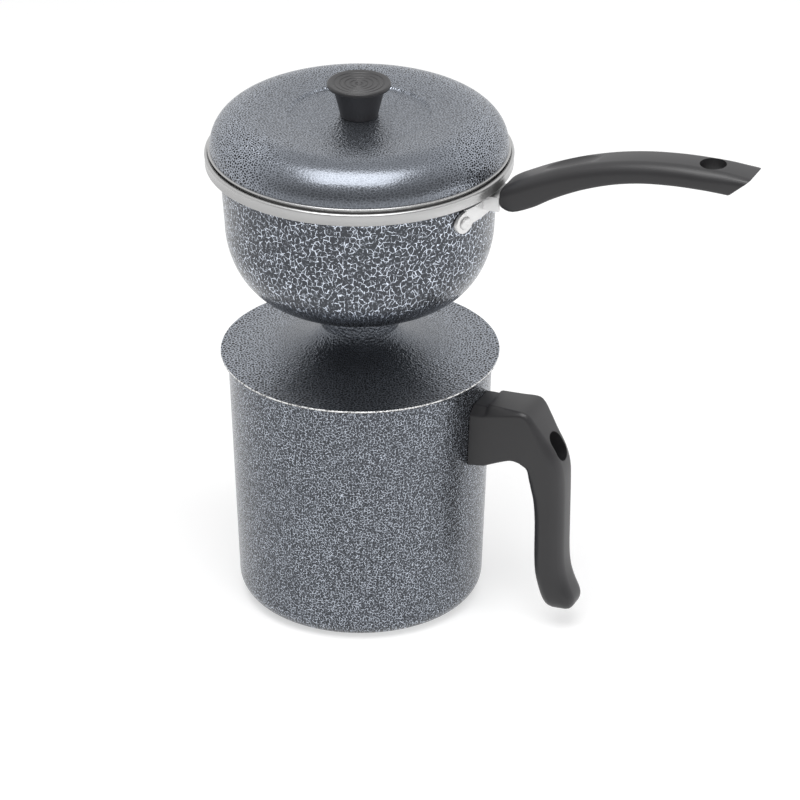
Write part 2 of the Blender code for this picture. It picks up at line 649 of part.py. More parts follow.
def make_boiler_handle():
    """A block against the wall that bends down into the grip."""
    wall = boiler_wall_radius(BOILER_BRACKET_MIDDLE)
    handle = loft("boiler_handle", sweep_rings(boiler_handle_stations(wall)), BAKELITE)

    # The block's end follows the wall, and a pocket takes the bracket
    block_foot = BOILER_HANDLE_TOP - BOILER_BLOCK_HEIGHT
    low, high = block_foot - CUT_MARGIN, BOILER_HANDLE_TOP + CUT_MARGIN
    boolean(handle, turned("boiler_handle_wall_cut", [
        (boiler_wall_radius(high) + GAP, high), (boiler_wall_radius(low) + GAP, low),
        (0, low), (0, high)]))
    bracket_low = BOILER_BRACKET_MIDDLE - BOILER_BRACKET_HEIGHT / 2
    bracket_high = BOILER_BRACKET_MIDDLE + BOILER_BRACKET_HEIGHT / 2
    recess = boiler_wall_radius(bracket_high) + 2 * GAP + BOILER_BRACKET_SHEET
    recess += RIVET_HEAD_HEIGHT + 2 * GAP
    half_width = BOILER_BRACKET_WIDTH / 2 + GAP
    boolean(handle, box("boiler_handle_recess",
                        (wall / 2, -half_width, bracket_low - GAP),
                        (recess, half_width, bracket_high + GAP)))
    slot_half = BOILER_TONGUE_THICKNESS / 2 + GAP
    boolean(handle, box("boiler_handle_slot",
                        (wall / 2, -BOILER_TONGUE_WIDTH / 2 - GAP,
                         BOILER_BRACKET_MIDDLE - slot_half),
                        (wall + BOILER_TONGUE_LENGTH + GAP,
                         BOILER_TONGUE_WIDTH / 2 + GAP, BOILER_BRACKET_MIDDLE + slot_half)))

    # Screw from below, through the tongue
    screw_at = wall + BOILER_SCREW_REACH
    tongue_foot = BOILER_BRACKET_MIDDLE - BOILER_TONGUE_THICKNESS / 2
    head_face = tongue_foot - BOILER_SCREW_BED - SCREW_HEAD_HEIGHT
    length = SCREW_HEAD_HEIGHT + BOILER_SCREW_BED + BOILER_TONGUE_THICKNESS + SCREW_BITE
    boolean(handle, cylinder("boiler_handle_counterbore", SCREW_HEAD_RADIUS + 2 * GAP,
                             (screw_at, 0, block_foot - CUT_MARGIN),
                             (screw_at, 0, head_face + SCREW_HEAD_HEIGHT + GAP)))
    boolean(handle, cylinder("boiler_handle_screw_hole", SCREW_RADIUS + GAP,
                             (screw_at, 0, head_face), (screw_at, 0, head_face + length + GAP)))
    screw("boiler_handle_screw", (screw_at, 0, head_face), length, STEEL)

    # Hang hole, tilted down through the bend
    middle = Vector((BOILER_GRIP_REACH - BOILER_HANG_INSIDE, 0,
                     BOILER_HANDLE_TOP - BOILER_HANG_BELOW_TOP))
    along = Vector((cos(BOILER_HANG_TILT), 0, sin(BOILER_HANG_TILT)))
    rings = [
        section_ring((middle.x + along.x * s, middle.z + along.z * s), (along.x, along.z),
                     BOILER_HANG_WIDTH, BOILER_HANG_HEIGHT, BOILER_HANG_WIDTH / 2)
        for s in (-2 * BOILER_GRIP_THICKNESS, 2 * BOILER_GRIP_THICKNESS)]
    boolean(handle, loft("boiler_handle_hang_hole", rings, None))


def make_cone():
    turned("steam_cone", cone_outline(), CRACKLE)
    outer = BOILER_TOP_RADIUS - BOILER_WALL - SLIDE_CLEARANCE
    inner = outer - LOCATING_RING_SHEET
    reach = outer - LOCATING_RING_FLANGE

    def under_cone(radius):
        return cone_height(radius) - CONE_SHEET - 1.6 * GAP

    foot = under_cone(outer) - LOCATING_RING_DEPTH
    turned("cone_locating_ring", [
        (reach, under_cone(reach)), (outer, under_cone(outer)), (outer, foot), (inner, foot),
        (inner, under_cone(outer) - LOCATING_RING_SHEET),
        (reach, under_cone(reach) - LOCATING_RING_SHEET)], ALUMINIUM)


def make_bowl():
    bowl = turned("steamer_bowl", bowl_outline(), CRACKLE)
    shoulder = COLLAR_RADIUS + COLLAR_SHOULDER
    foot = BOWL_BASE - COLLAR_LENGTH
    flange = BOWL_FLOOR + GAP
    turned("bowl_collar", [
        (COLLAR_BORE, flange + COLLAR_FLANGE_THICKNESS),
        (shoulder, flange + COLLAR_FLANGE_THICKNESS), (shoulder, flange),
        (COLLAR_RADIUS, flange), (COLLAR_RADIUS, BOWL_BASE - GAP),
        (shoulder, BOWL_BASE - GAP), (shoulder, BOWL_BASE - GAP - 1.6 * MM),
        (COLLAR_RADIUS, BOWL_BASE - GAP - 3.0 * MM),
        (COLLAR_RADIUS, foot + 1.0 * MM), (COLLAR_RADIUS - 0.3 * MM, foot),
        (COLLAR_MOUTH, foot), (COLLAR_BORE, foot + 3.0 * MM)], CRACKLE)
    return bowl


def bowl_wall_radius(height):
    return radius_at(bowl_outer()[:3], height)


def bowl_slope():
    span = BOWL_NECK_HEIGHT - BOWL_BELLY_HEIGHT
    return atan2(BOWL_NECK_RADIUS - BOWL_BELLY_RADIUS, span)


def ear_outline():
    """Seen along X: an arm that ends in a round ear, on both sides."""
    radius = bowl_wall_radius(BOWL_RIM_CREST - BOWL_RIVET_BELOW_RIM)
    side = radius * sin(BOWL_RIVET_ANGLE)
    low = -EAR_ARM_HEIGHT / 2 + EAR_ARM_RISE
    high = EAR_ARM_HEIGHT / 2 + EAR_ARM_RISE
    ear = arc((side, 0), EAR_RADIUS, 68, -140, 9)
    inset = side - EAR_RADIUS - 2 * MM
    return [(inset, high)] + ear + [(inset, low)]


def make_bowl_bracket(bowl):
    """A channel that carries the handle, with two ears riveted to the bowl."""
    rivet_height = BOWL_RIM_CREST - BOWL_RIVET_BELOW_RIM
    low = rivet_height - EAR_RADIUS - MM
    high = BOWL_RIM_CREST - BOWL_CHANNEL_BELOW_RIM
    bracket = wall_band("bowl_bracket", bowl_wall_radius, low, high, GAP,
                        BOWL_BRACKET_SHEET, STEEL)
    half = ear_outline()
    outline = half + [(-y, z) for y, z in half[::-1]]
    rings = [[(x, y, rivet_height + z) for y, z in outline]
             for x in (0.7 * BOWL_NECK_RADIUS, 1.3 * BOWL_NECK_RADIUS)]
    boolean(bracket, loft("bowl_bracket_window", rings, None), "INTERSECT")

    # The channel: a web on top and a flange down each side
    outer = BOWL_CHANNEL_WIDTH / 2
    inner = outer - BOWL_BRACKET_SHEET
    back = bowl_wall_radius(rivet_height) + 2 * GAP
    front = BOWL_HANDLE_START - GAP
    bottom = high - BOWL_CHANNEL_DEPTH
    channel = box("bowl_bracket_channel", (back, -outer, bottom), (front, outer, high))
    hollow = box("bowl_bracket_hollow", (back - MM, -inner, bottom - MM),
                 (front + MM, inner, high - BOWL_BRACKET_SHEET))
    boolean(channel, hollow)
    wall = [(bowl_wall_radius(high) + GAP, high + MM), (bowl_wall_radius(bottom) + GAP,
            bottom - MM), (0, bottom - MM), (0, high + MM)]
    boolean(channel, turned("bowl_bracket_wall_cut", wall))
    boolean(bracket, channel, "UNION")
    tongue_half = outer - BOWL_TONGUE_INSET
    tongue = box("bowl_bracket_tongue",
                 (front - 3 * MM, -tongue_half, high - BOWL_BRACKET_SHEET),
                 (BOWL_HANDLE_START + BOWL_TONGUE_LENGTH, tongue_half, high - 0.01 * MM))
    boolean(bracket, tongue, "UNION")
    for side, name in ((-1, "bowl_rivet_front"), (1, "bowl_rivet_back")):
        rivet_through(name, bowl, bracket, bowl_wall_radius, side * BOWL_RIVET_ANGLE,
                      rivet_height, bowl_slope(), BOWL_BRACKET_SHEET)
    return bracket


def bowl_handle_top(x):
    """Height of the handle's top line at a distance from the axis."""
    before_arch = BOWL_HANDLE_START + BOWL_HANDLE_ARCH_AT - x
    if before_arch > 0:
        share = before_arch / BOWL_HANDLE_ARCH_AT
        fall = BOWL_HANDLE_FALL * share ** BOWL_HANDLE_ARCH_POWER
    else:
        tail = BOWL_HANDLE_REACH - BOWL_HANDLE_START - BOWL_HANDLE_ARCH_AT
        fall = BOWL_HANDLE_TAIL_FALL * (before_arch / tail) ** 2
    return BOWL_RIM_CREST + BOWL_HANDLE_ARCH - fall


def bowl_handle_section(x):
    """The top point at a distance from the axis, and the bottom point square below it."""
    top = bowl_handle_top(x)
    slope = atan((bowl_handle_top(x + MM) - bowl_handle_top(x - MM)) / (2 * MM))
    along = (x - BOWL_HANDLE_START) / BOWL_HANDLE_SWELL_LENGTH
    thickness = BOWL_HANDLE_THICKNESS + BOWL_HANDLE_SWELL * max(0.0, 1 - along) ** 1.5
    return (x, top), (x + thickness * sin(slope), top - thickness * cos(slope))


def make_bowl_handle(bracket):
    crest = BOWL_RIM_CREST
    start, end = BOWL_HANDLE_START, BOWL_HANDLE_REACH
    width = BOWL_HANDLE_WIDTH
    tongue_top = crest - BOWL_CHANNEL_BELOW_RIM
    tongue_foot = tongue_top - BOWL_BRACKET_SHEET
    stations = [
        ((start, tongue_top + 3.2 * MM), (start, tongue_foot - 2.2 * MM), 0.75 * width,
         2.5 * MM),
        ((start + 1.0 * MM, tongue_top + 5.6 * MM), (start + 1.4 * MM, tongue_foot - 3.9 * MM),
         0.92 * width, 4.0 * MM),
        ((start + 6.0 * MM, bowl_handle_top(start + 6.0 * MM)),
         (start + 8.0 * MM, tongue_foot - 4.6 * MM), width, 5.0 * MM),
    ]
    for share in (0.087, 0.16, 0.24, 0.333, 0.45, 0.57, 0.7, 0.81):
        top, bottom = bowl_handle_section(start + share * (end - start))
        stations.append((top, bottom, width, 4.2 * MM))
    tip, tip_foot = (end, bowl_handle_top(end)), bowl_handle_section(end)[1]
    undercut = BOWL_HANDLE_UNDERCUT
    before_tip, before_foot = bowl_handle_section(end - 1.4 * undercut)
    stations += [
        (before_tip, (before_foot[0] - 0.3 * undercut, before_foot[1]), 0.97 * width,
         4.0 * MM),
        (tip, (tip_foot[0] - undercut, tip_foot[1] + MM), 0.92 * width, 3.4 * MM),
    ]
    handle = loft("bowl_handle", sweep_rings(stations), BAKELITE)

    # A slot for the bracket's tongue, with a screw from below into the handle
    half = BOWL_CHANNEL_WIDTH / 2 - BOWL_TONGUE_INSET + GAP
    boolean(handle, box("bowl_handle_slot",
                        (start - CUT_MARGIN, -half, tongue_foot - GAP),
                        (start + BOWL_TONGUE_LENGTH + GAP, half, tongue_top + GAP)))
    screw_at = start + BOWL_SCREW_REACH
    head_face = tongue_foot - GAP - SCREW_HEAD_HEIGHT
    length = SCREW_HEAD_HEIGHT + GAP + BOWL_BRACKET_SHEET + SCREW_BITE
    boolean(handle, cylinder("bowl_handle_counterbore", SCREW_HEAD_RADIUS + 2 * GAP,
                             (screw_at, 0, head_face - CUT_MARGIN), (screw_at, 0, tongue_foot)))
    hole = cylinder("bowl_handle_screw_hole", SCREW_RADIUS + GAP,
                    (screw_at, 0, head_face), (screw_at, 0, head_face + length + GAP))
    boolean(handle, hole)
    boolean(bracket, hole)
    screw("bowl_handle_screw", (screw_at, 0, head_face), length, STEEL)
    hang_at = end - BOWL_HANG_FROM_END
    hang_top = bowl_handle_top(hang_at)
    boolean(handle, cylinder("bowl_handle_hang_hole", BOWL_HANG_RADIUS,
                             (hang_at, 0, hang_top - 2 * BOWL_HANDLE_THICKNESS),
                             (hang_at, 0, hang_top + CUT_MARGIN), sides=KNOB_SEGMENTS))


def make_plate():
    """A perforated disc with a turned-down lip that rests on the bowl's wall."""
    top = BOWL_BASE + PLATE_HEIGHT
    under = top - PLATE_SHEET
    lip_foot = under - PLATE_LIP
    wall = bowl_inner()
    lip = (radius_at(wall, lip_foot) - GAP) * cos(pi / SEGMENTS)
    edge = lip + 1.0 * MM
    plate = turned("steam_plate", [
        (0, top), (edge - 0.8 * MM, top), (edge, top - 0.8 * MM), (lip, lip_foot),
        (lip - PLATE_SHEET, lip_foot), (edge - 1.4 * MM, under), (0, under)], ALUMINIUM)
    bm = bmesh.new()
    for radius, count in zip(HOLE_RING_RADII, HOLE_RING_COUNTS):
        for i in range(count):
            a = 2 * pi * i / count
            x, y = radius * cos(a), radius * sin(a)
            cylinder_into(bm, HOLE_RADIUS, (x, y, under - MM), (x, y, top + MM), HOLE_SIDES)
    cylinder_into(bm, SCREW_RADIUS + GAP, (0, 0, under - MM), (0, 0, top + MM),
                  SMALL_SEGMENTS)
    boolean(plate, new_object("steam_plate_holes", mesh_from(bm, "steam_plate_holes")))

    # A turned knob to lift the plate, held by a screw from below
    foot = top + GAP
    r, h = PLATE_KNOB_RADIUS, PLATE_KNOB_HEIGHT
    neck = [(0.72 * r, foot + 0.32 * h), (0.62 * r, foot + 0.16 * h), (0.95 * r, foot)]
    ball = superellipse((0, foot + 0.62 * h), r, 0.38 * h, 2.2, 4)[::-1]
    bore = SCREW_RADIUS + GAP
    thread = 8 * MM
    turned("plate_knob", [(0, ball[0][1])] + ball[1:] + [(0.95 * r, foot + 0.5 * h)]
           + neck + [(bore, foot), (bore, foot + thread), (0, foot + thread)],
           STEEL, SMALL_SEGMENTS)
    head_face = under - GAP - SCREW_HEAD_HEIGHT
    screw("plate_screw", (0, 0, head_face), foot + thread - GAP - head_face, STEEL)


def make_lid():
    turned("lid", lid_outline(), CRACKLE)
    bore = SCREW_RADIUS + GAP
    under = LID_MIDDLE - LID_SHEET
    washer_top = under - GAP
    washer_foot = washer_top - KNOB_WASHER_THICKNESS
    turned("lid_washer", [
        (bore, washer_top), (KNOB_WASHER_RADIUS, washer_top),
        (KNOB_WASHER_RADIUS, washer_foot), (bore, washer_foot)], STEEL, SMALL_SEGMENTS)

    # Knob: a flared body under a grooved disc, round a threaded insert
    foot, top = KNOB_FOOT, KNOB_FOOT + KNOB_HEIGHT
    neck = top - KNOB_TOP_THICKNESS
    crown = [(0, top - 0.9 * MM)]
    spacing = (KNOB_TOP_RADIUS - 3.0 * MM) / KNOB_GROOVES
    for i in range(KNOB_GROOVES):
        ridge = spacing * (i + 0.7)
        rise = top - 0.9 * MM + 0.9 * MM * (ridge / KNOB_TOP_RADIUS) ** 2
        crown += [(ridge - 0.9 * MM, rise - KNOB_GROOVE_DEPTH), (ridge, rise)]
    sides = [
        (KNOB_TOP_RADIUS - 0.8 * MM, top), (KNOB_TOP_RADIUS, top - 0.8 * MM),
        (KNOB_TOP_RADIUS, neck + 0.6 * MM), (KNOB_TOP_RADIUS - 0.8 * MM, neck),
        (KNOB_SHOULDER_RADIUS + 0.6 * MM, neck - 0.5 * MM),
    ]
    body = superellipse((KNOB_FOOT_RADIUS, neck - 0.9 * MM),
                        KNOB_SHOULDER_RADIUS - KNOB_FOOT_RADIUS,
                        -(neck - 0.9 * MM - foot - 1.5 * MM), KNOB_BODY_POWER, 5)
    insert_top = foot + INSERT_LENGTH + GAP
    bottom = [(KNOB_FOOT_RADIUS - 0.2 * MM, foot), (INSERT_RADIUS + GAP, foot),
              (INSERT_RADIUS + GAP, insert_top), (0, insert_top)]
    turned("lid_knob", crown + sides + body + bottom, BAKELITE, KNOB_SEGMENTS)
    blind = foot + INSERT_LENGTH - 1.5 * MM
    turned("knob_insert", [
        (0, foot + INSERT_LENGTH), (INSERT_RADIUS - 0.4 * MM, foot + INSERT_LENGTH),
        (INSERT_RADIUS, foot + INSERT_LENGTH - 0.4 * MM), (INSERT_RADIUS, foot),
        (bore, foot), (bore, blind), (0, blind)], BRASS, SMALL_SEGMENTS)
    head_face = washer_foot - GAP - SCREW_HEAD_HEIGHT
    screw("lid_screw", (0, 0, head_face), blind - GAP - head_face, STEEL)


def main():
    boiler = turned("boiler_body", boiler_outline(), CRACKLE)
    bracket = make_boiler_bracket()
    for side, name in ((1, "boiler_rivet_upper"), (-1, "boiler_rivet_lower")):
        height = BOILER_BRACKET_MIDDLE + side * BOILER_RIVET_SPACING / 2
        rivet_through(name, boiler, bracket, boiler_wall_radius, 0.0, height,
                      boiler_slope(), BOILER_BRACKET_SHEET)
    make_boiler_handle()
    make_cone()
    bowl = make_bowl()
    bowl_bracket = make_bowl_bracket(bowl)
    make_bowl_handle(bowl_bracket)
    make_plate()
    make_lid()


clear_scene()
PARTS = new_collection("couscous_steamer")
CUTTERS = new_collection("cutters")
CRACKLE = new_material("crackle_paint", (0.13, 0.14, 0.15), 0.35, 0.4)
ALUMINIUM = new_material("bare_aluminium", (0.75, 0.75, 0.75), 0.3, 1.0)
BAKELITE = new_material("black_bakelite", (0.06, 0.06, 0.062), 0.45, 0.0)
STEEL = new_material("plated_steel", (0.72, 0.73, 0.75), 0.3, 1.0)
BRASS = new_material("brass", (0.75, 0.6, 0.3), 0.35, 1.0)
main()
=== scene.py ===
"""Couscous steamer: a handled boiler mug, a steam cone, a long-handled bowl and a domed lid."""

import json
from math import atan2, cos, degrees, hypot, pi, radians, sin

import bmesh
import bpy
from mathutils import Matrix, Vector


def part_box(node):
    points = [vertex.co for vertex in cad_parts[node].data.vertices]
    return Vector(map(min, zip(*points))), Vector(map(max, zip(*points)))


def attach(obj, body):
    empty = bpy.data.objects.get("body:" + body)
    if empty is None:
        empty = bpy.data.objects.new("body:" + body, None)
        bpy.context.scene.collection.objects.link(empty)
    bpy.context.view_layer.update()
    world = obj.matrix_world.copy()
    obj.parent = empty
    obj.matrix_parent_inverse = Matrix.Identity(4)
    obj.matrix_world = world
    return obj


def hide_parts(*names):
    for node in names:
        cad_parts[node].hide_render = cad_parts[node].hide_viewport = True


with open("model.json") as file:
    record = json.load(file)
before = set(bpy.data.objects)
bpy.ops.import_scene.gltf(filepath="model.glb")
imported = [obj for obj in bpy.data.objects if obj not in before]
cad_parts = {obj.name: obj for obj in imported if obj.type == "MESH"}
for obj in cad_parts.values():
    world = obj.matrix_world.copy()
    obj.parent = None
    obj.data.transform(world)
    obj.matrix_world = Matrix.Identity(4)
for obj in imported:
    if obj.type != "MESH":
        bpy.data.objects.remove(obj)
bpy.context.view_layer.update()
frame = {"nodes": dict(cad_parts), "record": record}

MM = 0.001
ROUND = 192                       # steps round a vessel
SMALL_ROUND = 64                  # steps round a knob, a rivet or a hole
GAP = 0.3 * MM                    # what touching pieces keep between them
CHAMFER = 0.3 * MM                # what a sheet's cut end loses at each corner
REACH = 6 * MM                    # how far a cutter goes beyond what it cuts

BOILER_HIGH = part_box("boiler_body")[1]
CONE_LOW, CONE_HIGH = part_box("steam_cone")
BOWL_LOW, BOWL_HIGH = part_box("steamer_bowl")
LID_LOW, LID_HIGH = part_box("lid")
KNOB_LOW, KNOB_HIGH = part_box("lid_knob")
COLLAR_LOW, COLLAR_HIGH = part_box("bowl_collar")

# Boiler mug
BOILER_TOP_RADIUS = 71.3 * MM
BOILER_BASE_RADIUS = 66.6 * MM
BOILER_CORNER = 12 * MM
BOILER_WALL = 1.4 * MM
BOILER_BEAD = 1.3 * MM

# Steam cone
CONE_RIM_RADIUS = CONE_HIGH.y
CONE_SHEET = 1.2 * MM
CONE_RISE = 20.6 * MM
CONE_FLARE_POWER = 0.55
CONE_EDGE = 0.55 * MM
CHIMNEY_RADIUS = 18.7 * MM

# Steamer bowl
BOWL_BASE_RADIUS = 43.8 * MM
BOWL_BELLY_RADIUS = 71.9 * MM
BOWL_NECK_RADIUS = 74.3 * MM
BOWL_BELLY_HEIGHT = 40.2 * MM
BOWL_BELLY_POWER = 1.9
BOWL_RIM_RADIUS = 82.1 * MM
BOWL_RIM_HEIGHT = 7.2 * MM
BOWL_WALL = 1.5 * MM
COLLAR_RADIUS = 21.3 * MM
COLLAR_BORE = 19.3 * MM
COLLAR_SHOULDER = COLLAR_RADIUS + 2.8 * MM
COLLAR_FLANGE = 1.2 * MM
RIM_BEAD = 1.2 * MM

# Lid
LID_LIP_RADIUS = 80.4 * MM
LID_SHOULDER_RADIUS = 79.3 * MM
LID_CREST_RADIUS = 57.1 * MM
LID_SHOULDER_POWER = 2.13
LID_DISH = 2.0 * MM
LID_STEP_RADIUS = 38 * MM
LID_SHEET = 1.2 * MM
LID_SKIRT_RADIUS = 78.8 * MM
LID_LIP = 1.2 * MM                # thickness of the lip, and its height above the bowl
KNOB_RIM = 2.4 * MM
KNOB_DISH = 0.9 * MM
KNOB_FOOT_RADIUS = 10.3 * MM
KNOB_FLARE = 3.5 * MM
KNOB_GROOVES = 5
KNOB_GROOVE = 0.28 * MM
INSERT_BORE = 4.3 * MM
INSERT_DEPTH = 9.3 * MM

# Handles
SCREW_HEAD_RADIUS = 3.6 * MM
SCREW_RADIUS = 2.0 * MM
RIVET_RADIUS = 2.2 * MM
RIVET_HEAD_HEIGHT = 1.6 * MM
RIVET_TAIL = 1.0 * MM
BLOCK_TOP = BOILER_HIGH.z - 12.4 * MM
BLOCK_HEIGHT = 38.3 * MM
BLOCK_LENGTH = 29.6 * MM
BEND_HEIGHT = 44.6 * MM
GRIP_REACH = BOILER_TOP_RADIUS + 50.3 * MM
GRIP_THICKNESS = 16.5 * MM
BLOCK_HALF = 13 * MM              # half widths
GRIP_HALF = 11 * MM
TOE_FOOT = 12.6 * MM
TOE_REACH = 6.6 * MM
TOE_HEIGHT = 23 * MM
BRACKET_MIDDLE = BLOCK_TOP - 21.6 * MM
BRACKET_HALF = 8.5 * MM
BRACKET_TONGUE_HALF = 6 * MM
BRACKET_TONGUE = 3.5 * MM
BOILER_HANG_RADIUS = 6 * MM
BOILER_HANG_STRETCH = 2.5 * MM
BOILER_HANG_TILT = radians(32)
BOWL_HANDLE_START = BOWL_RIM_RADIUS + 1.9 * MM
BOWL_HANDLE_LENGTH = 138 * MM
BOWL_HANDLE_ARCH_AT = 115 * MM
BOWL_HANDLE_UNDERCUT = 10 * MM
BOWL_HANDLE_RISE = 27.9 * MM
BOWL_HANDLE_FALL = 31.4 * MM
BOWL_HANDLE_POWER = 2.25
BOWL_HANDLE_DROOP = 1.6 * MM
BOWL_HANDLE_HALF = 12 * MM
BOWL_HANDLE_THICKNESS = 11.2 * MM
BOWL_HANDLE_SWELL = 5.7 * MM
BOWL_HANDLE_SWELL_LENGTH = 76 * MM
BOWL_HANG_RADIUS = 7 * MM
BOWL_HANG_FROM_END = 23.6 * MM
THUMB_HOLLOW = (30 * MM, 9.5 * MM, 7 * MM)
THUMB_HOLLOW_AT = 36 * MM
THUMB_HOLLOW_LIFT = 5.6 * MM
CHANNEL_TOP = BOWL_HIGH.z - 9.2 * MM
CHANNEL_HALF = 9.3 * MM
CHANNEL_DEPTH = 8 * MM
BRACKET_SHEET = 1.6 * MM
BOWL_TONGUE_HALF = 7.8 * MM
BOWL_TONGUE_LENGTH = 13 * MM
BOWL_RIVET_DROP = 19 * MM
BOWL_RIVET_ANGLE = radians(19.2)
EAR_RADIUS = 6.2 * MM

# Camera and studio
CAMERA_AZIMUTH = radians(23.5)    # from -Y towards +X
CAMERA_PITCH = radians(27.41)
CAMERA_DISTANCE = 2.7126
CAMERA_TARGET = (0.0215, 0.11246)  # to the right of the axis, and height
DARK_SIDE = CAMERA_AZIMUTH + radians(12)


# Outlines, as points (radius, height)

def arc(center, radius, start, end, steps):
    """Points on an arc, in degrees counter-clockwise from the outward direction."""
    angles = [radians(start + (end - start) * i / steps) for i in range(steps + 1)]
    return [(center[0] + radius * cos(a), center[1] + radius * sin(a)) for a in angles]


def superellipse(center, width, height, power, steps):
    """Points on a quarter of a superellipse, from its side to its top."""
    points = []
    for i in range(steps + 1):
        t = pi / 2 * i / steps
        across = max(0.0, cos(t)) ** (2 / power)
        along = max(0.0, sin(t)) ** (2 / power)
        points.append((center[0] + width * across, center[1] + height * along))
    return points


def offset(points, distance):
    """The same line moved inwards, for a line that runs down its outer side."""
    moved = []
    for i, (r, z) in enumerate(points):
        r0, z0 = points[max(i - 1, 0)]
        r1, z1 = points[min(i + 1, len(points) - 1)]
        length = hypot(r1 - r0, z1 - z0)
        moved.append((max(0.0, r - distance * (z0 - z1) / length),
                      z - distance * (r1 - r0) / length))
    return moved


# Modelling

def select_only(piece):
    bpy.ops.object.select_all(action="DESELECT")
    piece.select_set(True)
    bpy.context.view_layer.objects.active = piece


def named(name):
    piece = bpy.context.object
    piece.name = piece.data.name = name
    return piece


def place_in_mesh(piece):
    select_only(piece)
    bpy.ops.object.transform_apply(location=True, rotation=True, scale=True)


def apply_modifier(piece, kind, **settings):
    select_only(piece)
    modifier = piece.modifiers.new(kind.title(), kind)
    for key, value in settings.items():
        setattr(modifier, key, value)
    bpy.ops.object.modifier_apply(modifier=modifier.name)


def cut(piece, cutter, operation="DIFFERENCE"):
    apply_modifier(piece, "BOOLEAN", operation=operation, object=cutter, solver="MANIFOLD")
    bpy.data.objects.remove(cutter)


def smooth(piece, angle=32):
    select_only(piece)
    bpy.ops.object.shade_smooth_by_angle(angle=radians(angle))


def turned(name, outline, steps=ROUND):
    """Turn a piece: a point is drawn out along a closed outline, which is spun about Z."""
    bpy.ops.object.select_all(action="DESELECT")
    bpy.ops.mesh.primitive_plane_add(size=MM, location=(outline[0][0], 0, outline[0][1]))
    piece = named(name)
    place_in_mesh(piece)
    bpy.ops.object.mode_set(mode="EDIT")
    bpy.ops.mesh.select_all(action="SELECT")
    bpy.ops.mesh.merge(type="CENTER")
    for (r0, z0), (r1, z1) in zip(outline, outline[1:]):
        bpy.ops.mesh.extrude_region_move(
            TRANSFORM_OT_translate={"value": (r1 - r0, 0, z1 - z0)})
    bpy.ops.mesh.select_all(action="SELECT")
    bpy.ops.mesh.spin(steps=steps, angle=2 * pi, center=(0, 0, 0), axis=(0, 0, 1))
    bpy.ops.mesh.select_all(action="SELECT")
    bpy.ops.mesh.remove_doubles(threshold=0.002 * MM)
    bpy.ops.mesh.normals_make_consistent(inside=False)
    bpy.ops.object.mode_set(mode="OBJECT")
    smooth(piece)
    return piece


def finish_piece(piece, body, slot, material, *nodes):
    """Give a finished piece its body and material, and hide the nodes that it stands for. slot is
    not used.
    """
    piece.data.materials.clear()
    piece.data.materials.append(material)
    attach(piece, body)
    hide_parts(*nodes)
    return piece


# Materials

class Socket:
    """An output socket, or a number, in arithmetic that adds Math nodes."""

    def __init__(self, material, link):
        self.material = material
        self.link = link

    def math(self, operation, *others, **settings):
        values = [self.link] + [o.link if isinstance(o, Socket) else o for o in others]
        node = self.material.node("ShaderNodeMath", {"operation": operation, **settings},
                                  dict(enumerate(values)))
        return Socket(self.material, node.outputs[0])

    def __add__(self, other):
        return self.math("ADD", other)

    def __radd__(self, other):
        return self.math("ADD", other)

    def __sub__(self, other):
        return self.math("SUBTRACT", other)

    def __rsub__(self, other):
        return self.math("MULTIPLY", -1) + other

    def __mul__(self, other):
        return self.math("MULTIPLY", other)

    def __rmul__(self, other):
        return self.math("MULTIPLY", other)

    def __truediv__(self, other):
        return self.math("DIVIDE", other)

    def __pow__(self, other):
        return self.math("POWER", other)


class Nodes:
    """A node tree, with the few node patterns that the finishes and the studio share."""

    def __init__(self, tree):
        self.tree = tree

    def node(self, kind, settings, inputs):
        node = self.tree.nodes.new(kind)
        for key, value in settings.items():
            setattr(node, key, value)
        for key, value in inputs.items():
            self.feed(node.inputs[key], value)
        return node

    def feed(self, socket, value):
        if isinstance(value, Socket):
            value = value.link
        if isinstance(value, bpy.types.NodeSocket):
            self.tree.links.new(value, socket)
        else:
            socket.default_value = value

    def ramp(self, value, low, high):
        """0 below low, 1 above high, and smooth in between."""
        node = self.node("ShaderNodeMapRange", {"interpolation_type": "SMOOTHSTEP"}, {
            "Value": value, "From Min": low, "From Max": high})
        return Socket(self, node.outputs["Result"])

    def mix(self, factor, first, second):
        node = self.node("ShaderNodeMix", {"data_type": "RGBA"}, {
            "Factor": factor, "A": first, "B": second})
        return node.outputs["Result"]

    def axes(self, vector):
        node = self.node("ShaderNodeSeparateXYZ", {}, {"Vector": vector})
        return [Socket(self, node.outputs[i]) for i in range(3)]

    def vector(self, x, y, z=0.0):
        return self.node("ShaderNodeCombineXYZ", {}, {0: x, 1: y, 2: z}).outputs[0]

    def seen(self):
        """1 for what the camera sees, straight or by a mirror or through glass."""
        paths = self.node("ShaderNodeLightPath", {}, {})
        rays = [Socket(self, paths.outputs[name])
                for name in ("Is Camera Ray", "Is Glossy Ray", "Is Transmission Ray")]
        return rays[0].math("MAXIMUM", rays[1]).math("MAXIMUM", rays[2])


